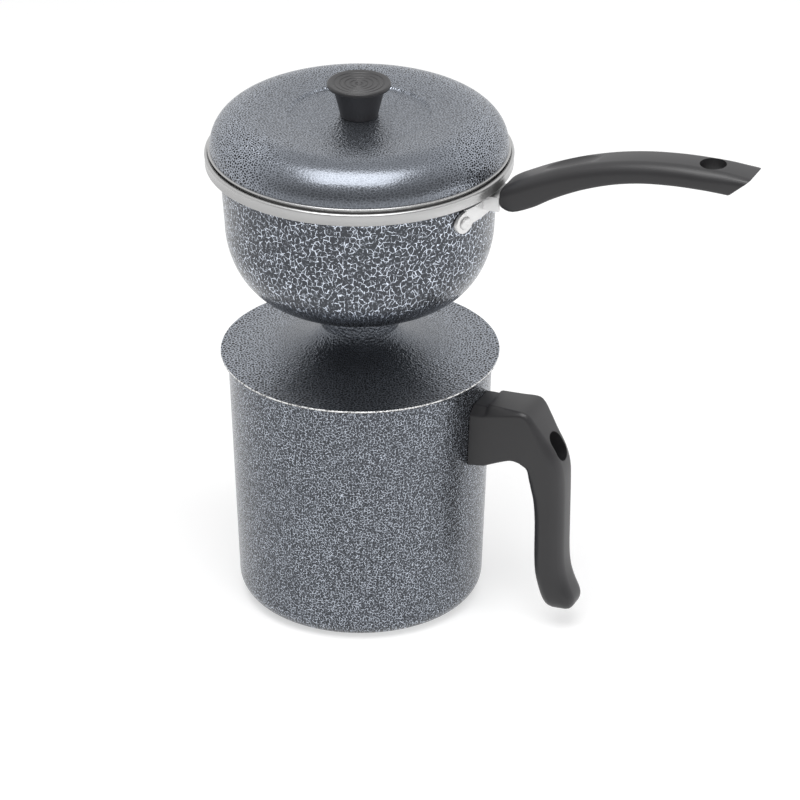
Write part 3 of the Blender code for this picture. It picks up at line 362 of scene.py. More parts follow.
class Finish(Nodes):
    """A procedural material, laid out in the object's own coordinates."""

    def __init__(self, name):
        self.data = bpy.data.materials.new(name)
        self.data.use_nodes = True
        super().__init__(self.data.node_tree)
        self.shader = self.tree.nodes["Principled BSDF"]
        self.place = self.node("ShaderNodeTexCoord", {}, {}).outputs["Object"]

    def noise(self, scale, detail=2.0, roughness=0.5, vector=None):
        node = self.node("ShaderNodeTexNoise", {}, {
            "Vector": vector or self.place, "Scale": scale, "Detail": detail,
            "Roughness": roughness})
        return Socket(self, node.outputs["Fac"])

    def wobbled(self, scale, amount):
        """The place on the object, pushed about by a noise."""
        node = self.node("ShaderNodeTexNoise", {}, {
            "Vector": self.place, "Scale": scale, "Detail": 2.0})
        centred = self.node("ShaderNodeVectorMath", {"operation": "SUBTRACT"}, {
            0: node.outputs["Color"], 1: (0.5, 0.5, 0.5)}).outputs[0]
        pushed = self.node("ShaderNodeVectorMath", {"operation": "MULTIPLY_ADD"}, {
            0: centred, 1: (amount, amount, amount), 2: self.place})
        return pushed.outputs[0]

    def unrolled(self, vector, radius):
        """A turned sheet laid flat: the way round at this radius, and the way down its side."""
        x, y, z = self.axes(vector)
        around = y.math("ARCTAN2", x) * radius
        return self.vector(around, z - (x * x + y * y) ** 0.5)

    def cracks(self, size, vector):
        """Distance to the nearest border between cells of this size, on a flat sheet."""
        node = self.node("ShaderNodeTexVoronoi", {
            "feature": "DISTANCE_TO_EDGE", "voronoi_dimensions": "2D"}, {
            "Vector": vector, "Scale": 1 / size})
        return Socket(self, node.outputs["Distance"]) * size

    def dimples(self, size):
        """Rounded dimples of this size all over the solid, 0 in their middles."""
        node = self.node("ShaderNodeTexVoronoi", {"feature": "SMOOTH_F1"}, {
            "Vector": self.wobbled(0.7 / size, 0.8 * size), "Scale": 1 / size,
            "Smoothness": 0.6})
        return Socket(self, node.outputs["Distance"])

    def bump(self, height, depth):
        node = self.node("ShaderNodeBump", {}, {"Height": height, "Distance": depth})
        return node.outputs["Normal"]

    def set(self, **inputs):
        for key, value in inputs.items():
            self.feed(self.shader.inputs[key.replace("_", " ").title()], value)
        return self.data


def rgb(level, tint=(1.0, 1.0, 1.0)):
    return (*(level * t for t in tint), 1.0)


COOL = (0.90, 0.97, 1.10)
WARM = (1.0, 0.97, 1.05)
# The side that faces the camera, where the lid and cone paints fade their crackle as painted
# reflection
CAMERA_FACING_SIDE = radians(23.5)       # from -Y towards +X


def crackle_paint(name, island, line, dimple, depth, tones, spread, radius, breaks=1.0,
                  camera_side_fade=0.0):
    """Gloss charcoal metallic paint that has drawn together into dark islands.

    island is the usual size of an island and line the width of the lighter veins round it.
    tones are those of the islands, of the veins and of the even paint where they fade.
    dimple and depth are those of the hammered skin. spread is a height or radius where the
    pattern starts, one where it is full, its least strength and its axis. radius is that of
    the turned wall. breaks is how much the veins come and go. calm is how far the pattern fades
    to the even tone, and the skin flattens, on the side that faces the camera: the even tone
    there is painted reflection."""
    dark, light, even = (rgb(tone, COOL) for tone in tones)
    paint = Finish(name)
    pushed = paint.wobbled(0.9 / island, 0.8 * island)
    sheet = paint.unrolled(pushed, radius)
    broken = paint.noise(1.3 / island, 2.0, 0.6)
    width = line * (1 - 0.75 * breaks * (1 - paint.ramp(broken, 0.42, 0.60)))
    coarse = paint.cracks(island, sheet) / width
    fine = paint.cracks(0.5 * island, sheet) / (0.5 * line)
    gaps = paint.noise(1.6 / island, 2.0, 0.6)
    web = 1 - paint.ramp(coarse, 0.35, 0.85)
    web = web * (1 - breaks * (1 - paint.ramp(broken, 0.40, 0.50)))
    specks = (1 - paint.ramp(fine, 0.2, 0.8)) * paint.ramp(gaps, 0.5, 0.62)
    web = web.math("MAXIMUM", specks * (0.6 * breaks))
    x, y, z = paint.axes(paint.place)
    start, full, least, axis = spread
    place = z if axis == "Z" else (x * x + y * y) ** 0.5
    drift = paint.noise(14.0, 3.0)
    strength = least + (1 - least) * paint.ramp(place, start, full)
    strength = strength * (0.55 + 0.9 * drift)
    skin = paint.dimples(dimple) + 0.25 * paint.noise(1.6 / dimple)
    # On the side that faces the camera the crackle fades to the even tone and the skin flattens:
    # the even tone there is painted reflection
    if camera_side_fade:
        turn = (x * sin(CAMERA_FACING_SIDE) - y * cos(CAMERA_FACING_SIDE)) / place
        crackle_kept = 1 - camera_side_fade * paint.ramp(turn, 0.55, 0.93) * paint.ramp(place, start, full)
        strength = strength * crackle_kept
        skin = skin * crackle_kept
    return paint.set(
        base_color=paint.mix(strength, even, paint.mix(web, dark, light)),
        metallic=0.9,
        roughness=0.21 + 0.10 * web,
        normal=paint.bump(skin, depth))


def bare_aluminium(name, level, roughness=0.3):
    """Spun aluminium with fine marks round the axis."""
    metal = Finish(name)
    x, y, z = metal.axes(metal.place)
    radius = (x * x + y * y) ** 0.5
    marks = metal.noise(1.0, 3.0, 0.6, metal.vector(radius * 900.0, z * 900.0))
    cloud = metal.noise(60.0, 3.0)
    return metal.set(
        base_color=metal.mix(cloud, rgb(level * 0.94), rgb(level * 1.04)),
        metallic=0.85,
        roughness=roughness - 0.06 + 0.12 * marks,
        normal=metal.bump(marks + 0.4 * cloud, 0.02 * MM))


def black_bakelite(name):
    """Satin black moulding with a fine grain and faint scuffs."""
    plastic = Finish(name)
    grain = plastic.noise(2600.0, 3.0, 0.6)
    cloud = plastic.noise(40.0, 3.0)
    return plastic.set(
        base_color=plastic.mix(cloud, rgb(0.015, WARM), rgb(0.021, WARM)),
        roughness=0.33 + 0.08 * cloud + 0.05 * grain,
        normal=plastic.bump(grain, 0.012 * MM))


def plated_steel(name):
    """Bright plating, a little clouded."""
    level = 0.70
    metal = Finish(name)
    cloud = metal.noise(220.0, 3.0)
    fine = metal.noise(1500.0, 2.0)
    return metal.set(
        base_color=metal.mix(cloud, rgb(level * 0.92), rgb(level * 1.05)),
        metallic=0.75,
        roughness=0.34 + 0.1 * cloud,
        normal=metal.bump(fine, 0.01 * MM))


def worn_and_highlight_edge(name):
    """A cut edge, where bare metal shows through the paint in light specks; the specks are partly
    wear and partly a painted highlight along the edge.
    """
    edge = Finish(name)
    # Light specks: partly worn bare metal, partly a painted highlight line along the edge
    bare = edge.ramp(edge.noise(850.0, 3.0, 0.7), 0.38, 0.52)
    return edge.set(
        base_color=edge.mix(bare, rgb(0.10), rgb(0.90)),
        metallic=0.7,
        roughness=0.35,
        normal=edge.bump(bare, 0.04 * MM))


def turned_brass(name):
    """Brass, a little clouded."""
    metal = Finish(name)
    cloud = metal.noise(300.0, 3.0)
    return metal.set(
        base_color=metal.mix(cloud, (0.62, 0.47, 0.2, 1), (0.74, 0.58, 0.28, 1)),
        metallic=1.0,
        roughness=0.3 + 0.1 * cloud,
        normal=metal.bump(cloud, 0.01 * MM))


MUG_PAINT = crackle_paint(
    "mug_crackle", island=1.6 * MM, line=0.20 * MM, dimple=1.1 * MM, depth=0.22 * MM,
    tones=(0.058, 0.66, 0.1), spread=(-0.2, -0.1, 1.0, "Z"), radius=70 * MM)
CONE_PAINT = crackle_paint(
    "cone_crackle", island=1.7 * MM, line=0.50 * MM, dimple=1.2 * MM, depth=0.28 * MM,
    tones=(0.011, 0.42, 0.128), spread=(32 * MM, 60 * MM, 0.30, "R"), radius=55 * MM,
    breaks=0.2, camera_side_fade=0.6)
BOWL_PAINT = crackle_paint(
    "bowl_crackle", island=2.9 * MM, line=0.28 * MM, dimple=1.3 * MM, depth=0.20 * MM,
    tones=(0.063, 0.84, 0.078), spread=(188 * MM, 200 * MM, 0.15, "Z"), radius=75 * MM)
LID_PAINT = crackle_paint(
    "lid_crackle", island=1.7 * MM, line=0.50 * MM, dimple=1.2 * MM, depth=0.36 * MM,
    tones=(0.010, 0.45, 0.153), spread=(50 * MM, 67 * MM, 0.55, "R"), radius=68 * MM,
    breaks=0.2, camera_side_fade=0.85)
ALUMINIUM = bare_aluminium("spun_aluminium", 0.44)
LINING = bare_aluminium("satin_lining", 0.6, 0.42)
BAKELITE = black_bakelite("satin_bakelite")
STEEL = plated_steel("zinc_plated_steel")
BRASS = turned_brass("turned_brass")
EDGE = worn_and_highlight_edge("worn_and_highlight_edge")


# Pieces

def make_boiler():
    top = BOILER_HIGH.z
    slope = atan2(BOILER_TOP_RADIUS - BOILER_BASE_RADIUS, top - BOILER_CORNER)
    corner = arc((BOILER_BASE_RADIUS - BOILER_CORNER, BOILER_CORNER), BOILER_CORNER,
                 -degrees(slope), -90, 14)
    wall = [(BOILER_TOP_RADIUS, top - 2 * BOILER_BEAD)]
    wall += [(BOILER_TOP_RADIUS + (corner[0][0] - BOILER_TOP_RADIUS) * i / 12,
              wall[0][1] + (corner[0][1] - wall[0][1]) * i / 12) for i in range(1, 12)]
    wall += corner + [(0.5 * BOILER_BASE_RADIUS, 0.0), (0.0, 0.0)]
    middle = offset(wall, BOILER_WALL / 2)
    inner = offset(wall, BOILER_WALL)
    middle[-1] = (0.0, BOILER_WALL / 2)
    inner[-1] = (0.0, BOILER_WALL)
    bead = arc((BOILER_TOP_RADIUS, top - BOILER_BEAD), BOILER_BEAD, 140, -90, 14)
    mug = turned("boiler_mug", bead + wall[1:] + middle[::-1] + bead[:1])
    finish_piece(mug, "boiler", "crackle_paint", MUG_PAINT, "boiler_body")
    lining = turned("boiler_lining", inner[::-1] + bead[:1] + middle)
    finish_piece(lining, "boiler", "bare_aluminium", LINING, "boiler_body")


def make_cone():
    rim = CONE_LOW.z + CONE_SHEET
    flare = superellipse((CHIMNEY_RADIUS, rim), CONE_RIM_RADIUS - CHIMNEY_RADIUS, CONE_RISE,
                         CONE_FLARE_POWER, 40)
    upper = [(CHIMNEY_RADIUS - CHAMFER, CONE_HIGH.z), (CHIMNEY_RADIUS, CONE_HIGH.z - CHAMFER)]
    upper += flare[:0:-1]
    under = offset(upper, CONE_SHEET)
    under[0] = (CHIMNEY_RADIUS - CONE_SHEET + CHAMFER, CONE_HIGH.z)
    under[1] = (CHIMNEY_RADIUS - CONE_SHEET, CONE_HIGH.z - CHAMFER)
    edge = arc((CONE_RIM_RADIUS - CONE_EDGE, rim - CONE_SHEET / 2), CONE_EDGE, 80, -80, 8)
    cone = turned("steam_cone_sheet", upper + [edge[0], edge[-1]] + under[::-1] + upper[:1])
    finish_piece(cone, "cone", "crackle_paint", CONE_PAINT, "steam_cone")
    # The edge ring, in light specks that are partly wear and partly painted highlight
    rim_edge = turned("steam_cone_edge", edge + edge[:1])
    finish_piece(rim_edge, "cone", "bare_aluminium", EDGE, "steam_cone")


def make_bowl():
    base = BOWL_LOW.z
    crest = BOWL_HIGH.z
    underside = crest - BOWL_RIM_HEIGHT
    belly = superellipse((BOWL_BASE_RADIUS, base + BOWL_BELLY_HEIGHT),
                         BOWL_BELLY_RADIUS - BOWL_BASE_RADIUS, -BOWL_BELLY_HEIGHT,
                         BOWL_BELLY_POWER, 36)
    neck = (BOWL_NECK_RADIUS, underside)
    wall = [neck]
    wall += [(neck[0] + (belly[0][0] - neck[0]) * i / 5,
              neck[1] + (belly[0][1] - neck[1]) * i / 5) for i in range(1, 5)]
    wall += belly + [(COLLAR_RADIUS + GAP, base)]
    middle = offset(wall, BOWL_WALL / 2)
    inner = offset(wall, BOWL_WALL)
    shell = turned("bowl_shell", wall + middle[::-1] + wall[:1])
    finish_piece(shell, "bowl", "crackle_paint", BOWL_PAINT, "steamer_bowl")

    # Rim band: a ledge for the lid, a rolled crest, a flat band and a turned-in foot
    outside = BOWL_RIM_RADIUS
    band_inside = outside - 2.7 * MM
    rim = [
        (BOWL_NECK_RADIUS - BOWL_WALL + 0.8 * MM, underside + 1.8 * MM),
        (band_inside, underside + 2.2 * MM),
        (band_inside + 0.3 * MM, crest - 1.2 * MM),
    ]
    rim += arc((outside - RIM_BEAD, crest - RIM_BEAD), RIM_BEAD, 150, -25, 16)
    rim += [
        (outside - 0.38 * MM, crest - 2.2 * MM),
        (outside - 0.40 * MM, crest - 3.2 * MM),
        (outside - 0.40 * MM, crest - 5.0 * MM),
        (outside - 0.30 * MM, crest - 5.5 * MM),
    ]
    rim += arc((outside - 0.85 * MM, underside + 1.1 * MM), 0.6 * MM, 30, -90, 6)
    rim += [(outside - 2.4 * MM, underside + 0.5 * MM)]
    band = turned("bowl_rim_band", inner[::-1] + rim + middle + inner[-1:])
    finish_piece(band, "bowl", "bare_aluminium", ALUMINIUM, "steamer_bowl")

    shoulder = COLLAR_SHOULDER
    foot, flange = COLLAR_LOW.z, COLLAR_HIGH.z
    tube = [(COLLAR_BORE, flange), (shoulder, flange), (shoulder, flange - COLLAR_FLANGE),
            (COLLAR_RADIUS, flange - COLLAR_FLANGE), (COLLAR_RADIUS, base - GAP)]
    tube += arc((shoulder - 0.8 * MM, base - 1.1 * MM), 0.8 * MM, 90, -45, 6)
    tube += [(COLLAR_RADIUS, base - 3.3 * MM), (COLLAR_RADIUS, foot + 1.0 * MM)]
    tube += arc((COLLAR_RADIUS - 0.4 * MM, foot + 0.4 * MM), 0.4 * MM, 0, -90, 4)
    tube += [(COLLAR_BORE + 1.4 * MM, foot), (COLLAR_BORE, foot + 3.0 * MM),
             (COLLAR_BORE, flange)]
    collar = turned("collar_tube", tube, 96)
    finish_piece(collar, "bowl", "crackle_paint", CONE_PAINT, "bowl_collar")


def make_lid():
    crest = LID_HIGH.z
    lip_under = BOWL_HIGH.z + LID_LIP
    lip_top = lip_under + LID_LIP
    middle_height = crest - LID_DISH
    top = [(0.0, middle_height), (0.4 * LID_STEP_RADIUS, middle_height)]
    top += [(LID_STEP_RADIUS - 2.2 * MM, middle_height)]
    top += arc((LID_STEP_RADIUS - 1.1 * MM, middle_height + 0.7 * MM), 0.7 * MM, 262, 320, 4)
    top += arc((LID_STEP_RADIUS + 0.55 * MM, middle_height + 0.25 * MM), 0.7 * MM, 150, 85, 5)
    slope_start = LID_STEP_RADIUS + 0.7 * MM
    slope_top = crest - 0.02 * MM
    rise = slope_top - top[-1][1]
    for i in range(1, 10):
        share = i / 10
        top.append((slope_start + share * (LID_CREST_RADIUS - slope_start),
                    slope_top - rise * (1 - share) ** 2))
    shoulder = superellipse((LID_CREST_RADIUS, lip_top), LID_SHOULDER_RADIUS - LID_CREST_RADIUS,
                            crest - lip_top, LID_SHOULDER_POWER, 36)
    top += shoulder[::-1]
    middle = offset(top, LID_SHEET / 2)
    under = offset(top, LID_SHEET)
    for line, depth in ((middle, LID_SHEET / 2), (under, LID_SHEET)):
        line[0] = (0.0, middle_height - depth)
    dome = turned("lid_dome", top + middle[::-1])
    finish_piece(dome, "lid", "crackle_paint", LID_PAINT, "lid")

    # Bare underside, which ends in the lip and the skirt
    lip = arc((LID_LIP_RADIUS - 0.55 * MM, lip_under + 0.6 * MM), 0.55 * MM, 85, -85, 8)
    outside, inside = LID_SKIRT_RADIUS, LID_SKIRT_RADIUS - LID_SHEET
    skirt = [(outside, lip_under), (outside, LID_LOW.z + CHAMFER),
             (outside - CHAMFER, LID_LOW.z), (inside + CHAMFER, LID_LOW.z),
             (inside, LID_LOW.z + CHAMFER), (inside, lip_under)]
    lining = turned("lid_lining", middle + lip + skirt + under[-2::-1])
    finish_piece(lining, "lid", "bare_aluminium", ALUMINIUM, "lid")


def make_lid_knob():
    foot, top = KNOB_LOW.z, KNOB_HIGH.z
    edge = KNOB_HIGH.y
    neck = top - KNOB_RIM
    crown = [(0.0, top - KNOB_DISH)]
    spacing = (edge - 2.6 * MM) / KNOB_GROOVES
    for i in range(KNOB_GROOVES):
        ridge = spacing * (i + 0.75)
        rise = top - KNOB_DISH + KNOB_DISH * (ridge / edge) ** 2
        crown += [(ridge - 0.85 * MM, rise - 0.05 * MM), (ridge - 0.55 * MM, rise - KNOB_GROOVE),
                  (ridge - 0.15 * MM, rise - KNOB_GROOVE), (ridge + 0.1 * MM, rise - 0.03 * MM)]
    rim = arc((edge - 0.9 * MM, top - 0.9 * MM), 0.9 * MM, 90, 0, 6)
    rim += arc((edge - 0.7 * MM, neck + 0.7 * MM), 0.7 * MM, 0, -90, 5)
    body = superellipse((KNOB_FOOT_RADIUS, neck - 0.9 * MM), KNOB_FLARE,
                        -(neck - 0.9 * MM - foot - 1.5 * MM), 0.97, 14)
    bottom = [(KNOB_FOOT_RADIUS - 0.2 * MM, foot), (INSERT_BORE, foot),
              (INSERT_BORE, foot + INSERT_DEPTH), (0.0, foot + INSERT_DEPTH)]
    knob = turned("lid_knob_moulding", crown + rim + [(14.4 * MM, neck - 0.5 * MM)] + body
                  + bottom, SMALL_ROUND * 2)
    finish_piece(knob, "lid", "black_bakelite", BAKELITE, "lid_knob")


def pick(piece, test):
    """Select the points of an edited mesh that pass a test, and nothing else."""
    mesh = bmesh.from_edit_mesh(piece.data)
    for part in (*mesh.faces, *mesh.edges):
        part.select = False
    for vert in mesh.verts:
        vert.select = test(vert)
    mesh.select_flush(True)
    bmesh.update_edit_mesh(piece.data)


def row_points(station):
    """The rows of a bar's section, from outside to inside: (x, z, half width, rounding).

    A station is an outer and an inner point, the half width, and for each side how far its
    chamfers run across and down, with the rounding of both their edges."""
    (ox, oz), (ix, iz), half, outer, inner = station
    length = hypot(ix - ox, iz - oz)
    down = Vector((ix - ox, iz - oz)) / length
    return [
        (ox, oz, half - outer[0], outer[2]),
        (ox + down.x * outer[1], oz + down.y * outer[1], half, outer[2]),
        (ix - down.x * inner[1], iz - down.y * inner[1], half, inner[2]),
        (ix, iz, half - inner[0], inner[2]),
    ]


def between(stations, steps):
    """The stations with more between them, on a curve through them all."""
    def flat(station):
        outer_point, inner_point, half, outer, inner = station
        return [*outer_point, *inner_point, half, *outer, *inner]

    rows = [flat(station) for station in stations]
    dense = []
    for i in range(len(rows) - 1):
        a, b, c, d = (rows[min(max(k, 0), len(rows) - 1)] for k in (i - 1, i, i + 1, i + 2))
        for step in range(steps):
            s = step / steps
            point = [0.5 * (2 * q + (r - p) * s + (2 * p - 5 * q + 4 * r - e) * s ** 2
                            + (3 * q - p - 3 * r + e) * s ** 3)
                     for p, q, r, e in zip(a, b, c, d)]
            dense.append(point)
    dense.append(rows[-1])
    return [((v[0], v[1]), (v[2], v[3]), v[4], tuple(v[5:8]), tuple(v[8:11])) for v in dense]


def drawn_bar(name, stations, end_rounding):
    """Draw a bar, symmetric about Y, out through its stations and round its edges.

    A plane makes the upper rows of the first section, its lower edge is extruded to the
    others, and the whole end is then extruded from station to station."""
    sections = [row_points(station) for station in stations]
    first = sections[0]
    x, z, half = first[0][:3]
    bpy.ops.object.select_all(action="DESELECT")
    bpy.ops.mesh.primitive_plane_add(size=2 * half, location=(x, 0, z), rotation=(0, pi / 2, 0))
    bar = named(name)
    place_in_mesh(bar)
    bpy.ops.object.mode_set(mode="EDIT")
    bpy.ops.mesh.select_mode(type="VERT")

    def move_row(test, before, after):
        pick(bar, test)
        bpy.ops.transform.translate(value=(after[0] - before[0], 0, after[1] - before[1]))
        bpy.ops.transform.resize(value=(1, after[2] / before[2], 1), center_override=(0, 0, 0))

    def at(vert, row):
        return hypot(vert.co.x - row[0], vert.co.z - row[1]) < 0.002 * MM

    move_row(lambda v: v.co.z < z, (x, z - half, half), first[1])
    move_row(lambda v: v.co.z > z, (x, z + half, half), first[0])
    for before, after in zip(first[1:], first[2:]):
        pick(bar, lambda v: at(v, before))
        bpy.ops.mesh.extrude_region_move()
        count = len(bmesh.from_edit_mesh(bar.data).verts)
        move_row(lambda v: v.index >= count - 2, before, after)
    for i, (section, following) in enumerate(zip(sections, sections[1:])):
        pick(bar, lambda v: v.index >= 8 * i)
        bpy.ops.mesh.extrude_region_move()
        for before, after in zip(section, following):
            move_row(lambda v: v.index >= 8 * i + 8 and at(v, before), before, after)
    bpy.ops.mesh.select_all(action="SELECT")
    bpy.ops.mesh.normals_make_consistent(inside=False)
    bpy.ops.object.mode_set(mode="OBJECT")

    widest = max(row[3] for section in sections for row in section)
    widest = max(widest, end_rounding)
    weights = bar.data.attributes.new("bevel_weight_edge", "FLOAT", "EDGE")
    places = []
    for vert in bar.data.vertices:
        section = sections[vert.index // 8]
        row = min(range(4), key=lambda r: hypot(vert.co.x - section[r][0],
                                                vert.co.z - section[r][1]))
        places.append((vert.index // 8, row))
    for edge in bar.data.edges:
        (i, row), (j, other) = (places[k] for k in edge.vertices)
        if i != j and row == other:
            rounding = (sections[i][row][3] + sections[j][row][3]) / 2
        elif i == j and i in (0, len(sections) - 1):
            rounding = end_rounding
        else:
            continue
        weights.data[edge.index].value = rounding / widest
    apply_modifier(bar, "BEVEL", limit_method="WEIGHT", width=widest, segments=4,
                   use_clamp_overlap=False)
    return bar


def block_cutter(low, high):
    """A box between two corners, for a cut."""
    middle = (Vector(low) + Vector(high)) / 2
    bpy.ops.object.select_all(action="DESELECT")
    bpy.ops.mesh.primitive_cube_add(size=1, location=middle)
    cutter = named("cutter")
    cutter.scale = Vector(high) - Vector(low)
    place_in_mesh(cutter)
    return cutter


def round_cutter(x, radius, low, high):
    """An upright round rod, for a cut."""
    bpy.ops.object.select_all(action="DESELECT")
    bpy.ops.mesh.primitive_cylinder_add(vertices=SMALL_ROUND, radius=radius, depth=high - low,
                                        location=(x, 0, (low + high) / 2))
    cutter = named("cutter")
    place_in_mesh(cutter)
    return cutter


def boiler_wall_radius(height):
    share = (height - BOILER_CORNER) / (BOILER_HIGH.z - BOILER_CORNER)
    return BOILER_BASE_RADIUS + share * (BOILER_TOP_RADIUS - BOILER_BASE_RADIUS)


def make_boiler_handle():
    """A block against the wall with a raised pad, which bends down into the rounded grip."""
    wall = boiler_wall_radius(BRACKET_MIDDLE)
    top = BLOCK_TOP
    inner_x = GRIP_REACH - GRIP_THICKNESS
    block_foot = top - BLOCK_HEIGHT
    block_end = wall + BLOCK_LENGTH

    def flat(share, drop=0.0):
        return (wall + share * BLOCK_LENGTH, top - drop)

    def bend(across, down):
        return (block_end + across * (GRIP_REACH - block_end), top - down * BEND_HEIGHT)

    def under(across, rise):
        return (wall + across * (inner_x - wall), block_foot + rise * BLOCK_HEIGHT)

    def toe(side, out, up):
        return (side + out * TOE_REACH, TOE_FOOT + up * TOE_HEIGHT)

    def chamfer(across, down, rounding):
        return (across * MM, down * MM, rounding * MM)

    def rounded(radius):
        return chamfer(0.586 * radius, 0.586 * radius, 0.40 * radius)

    low_step = 1.6 * MM
    block = [
        ((0.92 * wall, top - low_step), (0.92 * wall, block_foot), BLOCK_HALF,
         chamfer(4.2, 5.2, 0.9), rounded(2)),
        (flat(0.25, low_step), under(0.21, 0.05), BLOCK_HALF, chamfer(3.8, 4.6, 0.9), rounded(2)),
        (flat(0.275, 0.9 * low_step), under(0.23, 0.055), BLOCK_HALF, chamfer(3.8, 4.4, 0.9),
         rounded(2)),
        (flat(0.30, 0.1 * low_step), under(0.25, 0.065), BLOCK_HALF, chamfer(3.8, 5.6, 0.8),
         rounded(2)),
        (flat(0.33), under(0.30, 0.085), BLOCK_HALF, chamfer(3.4, 5.6, 0.8), rounded(2)),
    ]
    bent = [
        (flat(0.33), under(0.30, 0.085), BLOCK_HALF, chamfer(3.4, 5.6, 0.8), rounded(2)),
        (flat(0.70), under(0.46, 0.15), BLOCK_HALF, chamfer(2.6, 3.4, 0.8), rounded(2)),
        (bend(0.00, 0.00), under(0.64, 0.21), BLOCK_HALF, chamfer(1.8, 1.8, 0.8), rounded(2)),
        (bend(0.18, 0.05), under(0.76, 0.20), BLOCK_HALF, chamfer(2.2, 2.2, 0.9), rounded(2.4)),
        (bend(0.33, 0.16), under(0.83, 0.165), BLOCK_HALF, chamfer(2.8, 2.8, 1.1), rounded(3)),
        (bend(0.57, 0.35), under(0.90, 0.09), 12.5 * MM, chamfer(3.6, 3.6, 1.8), rounded(4)),
        (bend(0.81, 0.53), under(0.92, -0.07), 12 * MM, chamfer(4.2, 4.2, 2.6), rounded(5)),
        (bend(0.96, 0.74), under(0.945, -0.23), 11.5 * MM, rounded(7.5), rounded(5.5)),
        (bend(1.00, 1.00), under(0.977, -0.43), GRIP_HALF, rounded(8), rounded(6)),
        ((GRIP_REACH, block_foot - 0.70 * BLOCK_HEIGHT), under(1.00, -0.75), GRIP_HALF,
         rounded(8), rounded(6)),
        (toe(GRIP_REACH, 0.0, 1.45), toe(inner_x, 0.0, 1.40), GRIP_HALF, rounded(8), rounded(6)),
        (toe(GRIP_REACH, 0.15, 1.00), toe(inner_x, 0.08, 0.95), GRIP_HALF, rounded(8), rounded(6)),
        (toe(GRIP_REACH, 0.48, 0.68), toe(inner_x, 0.30, 0.64), GRIP_HALF, rounded(8), rounded(6)),
        (toe(GRIP_REACH, 0.97, 0.34), toe(inner_x, 0.62, 0.32), 10.5 * MM, rounded(7),
         rounded(6)),
        (toe(GRIP_REACH, 0.94, 0.16), toe(inner_x, 0.92, 0.12), 8.8 * MM, rounded(5),
         rounded(5)),
        (toe(GRIP_REACH, 0.72, 0.05), toe(inner_x, 1.32, 0.02), 6.6 * MM, rounded(3),
         rounded(3)),
    ]
    handle = drawn_bar("boiler_handle_moulding", block + between(bent, 4)[1:], 0.5 * MM)

    # The block's end follows the wall; a pocket takes the bracket and a slot its tongue
    low, high = block_foot - REACH, top + REACH
    cut(handle, turned("cutter", [(0, low), (boiler_wall_radius(low) + GAP, low),
                                  (boiler_wall_radius(high) + GAP, high), (0, high)]))
    plate_low, plate_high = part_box("boiler_bracket")
    rivet_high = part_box("boiler_rivet_upper")[1]
    screw_low, screw_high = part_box("boiler_handle_screw")
    pocket = BRACKET_HALF + GAP
    cut(handle, block_cutter((wall / 2, -pocket, plate_low.z - GAP),
                             (rivet_high.x + 2 * GAP, pocket, plate_high.z + GAP)))
    half = BRACKET_TONGUE_HALF + GAP
    slot = BRACKET_TONGUE / 2 + GAP
    cut(handle, block_cutter((wall / 2, -half, BRACKET_MIDDLE - slot),
                             (plate_high.x + GAP, half, BRACKET_MIDDLE + slot)))
    screw_at = (screw_low.x + screw_high.x) / 2
    cut(handle, round_cutter(screw_at, SCREW_HEAD_RADIUS + 2 * GAP, low,
                             screw_low.z + 2 * MM + GAP))
    cut(handle, round_cutter(screw_at, SCREW_RADIUS + GAP, screw_low.z, screw_high.z + GAP))

    # Oblong hang hole, tilted down through the bend
    bpy.ops.object.select_all(action="DESELECT")
    bpy.ops.mesh.primitive_cylinder_add(vertices=SMALL_ROUND, radius=BOILER_HANG_RADIUS,
                                        depth=66 * MM)
    cutter = named("cutter")
    bpy.ops.object.mode_set(mode="EDIT")
    for side in (-1, 1):
        pick(cutter, lambda v: v.co.y * side > 0.01 * MM)
        bpy.ops.transform.translate(value=(0, BOILER_HANG_STRETCH * side, 0))
    bpy.ops.object.mode_set(mode="OBJECT")
    cutter.rotation_euler = (pi / 2, 0, pi / 2)
    place_in_mesh(cutter)
    cutter.rotation_euler = (0, -BOILER_HANG_TILT, 0)
    cutter.location = (GRIP_REACH - 5 * MM, 0, top - 21.3 * MM)
    place_in_mesh(cutter)
    cut(handle, cutter)
    smooth(handle, 24)
    finish_piece(handle, "boiler", "black_bakelite", BAKELITE, "boiler_handle")


def bowl_handle_top(x):
    """Height of the bowl handle's top line at a distance from the axis."""
    before_arch = BOWL_HANDLE_START + BOWL_HANDLE_ARCH_AT - x
    if before_arch > 0:
        fall = BOWL_HANDLE_FALL * (before_arch / BOWL_HANDLE_ARCH_AT) ** BOWL_HANDLE_POWER
    else:
        tail = BOWL_HANDLE_LENGTH - BOWL_HANDLE_ARCH_AT
        fall = BOWL_HANDLE_DROOP * (before_arch / tail) ** 2
    return BOWL_HIGH.z + BOWL_HANDLE_RISE - fall


def bowl_handle_section(x):
    """The top point at a distance from the axis, and the bottom point square below it."""
    top = bowl_handle_top(x)
    slope = atan2(bowl_handle_top(x + MM) - bowl_handle_top(x - MM), 2 * MM)
    along = (x - BOWL_HANDLE_START) / BOWL_HANDLE_SWELL_LENGTH
    thickness = BOWL_HANDLE_THICKNESS + BOWL_HANDLE_SWELL * max(0.0, 1 - along) ** 1.5
    return (x, top), (x + thickness * sin(slope), top - thickness * cos(slope))


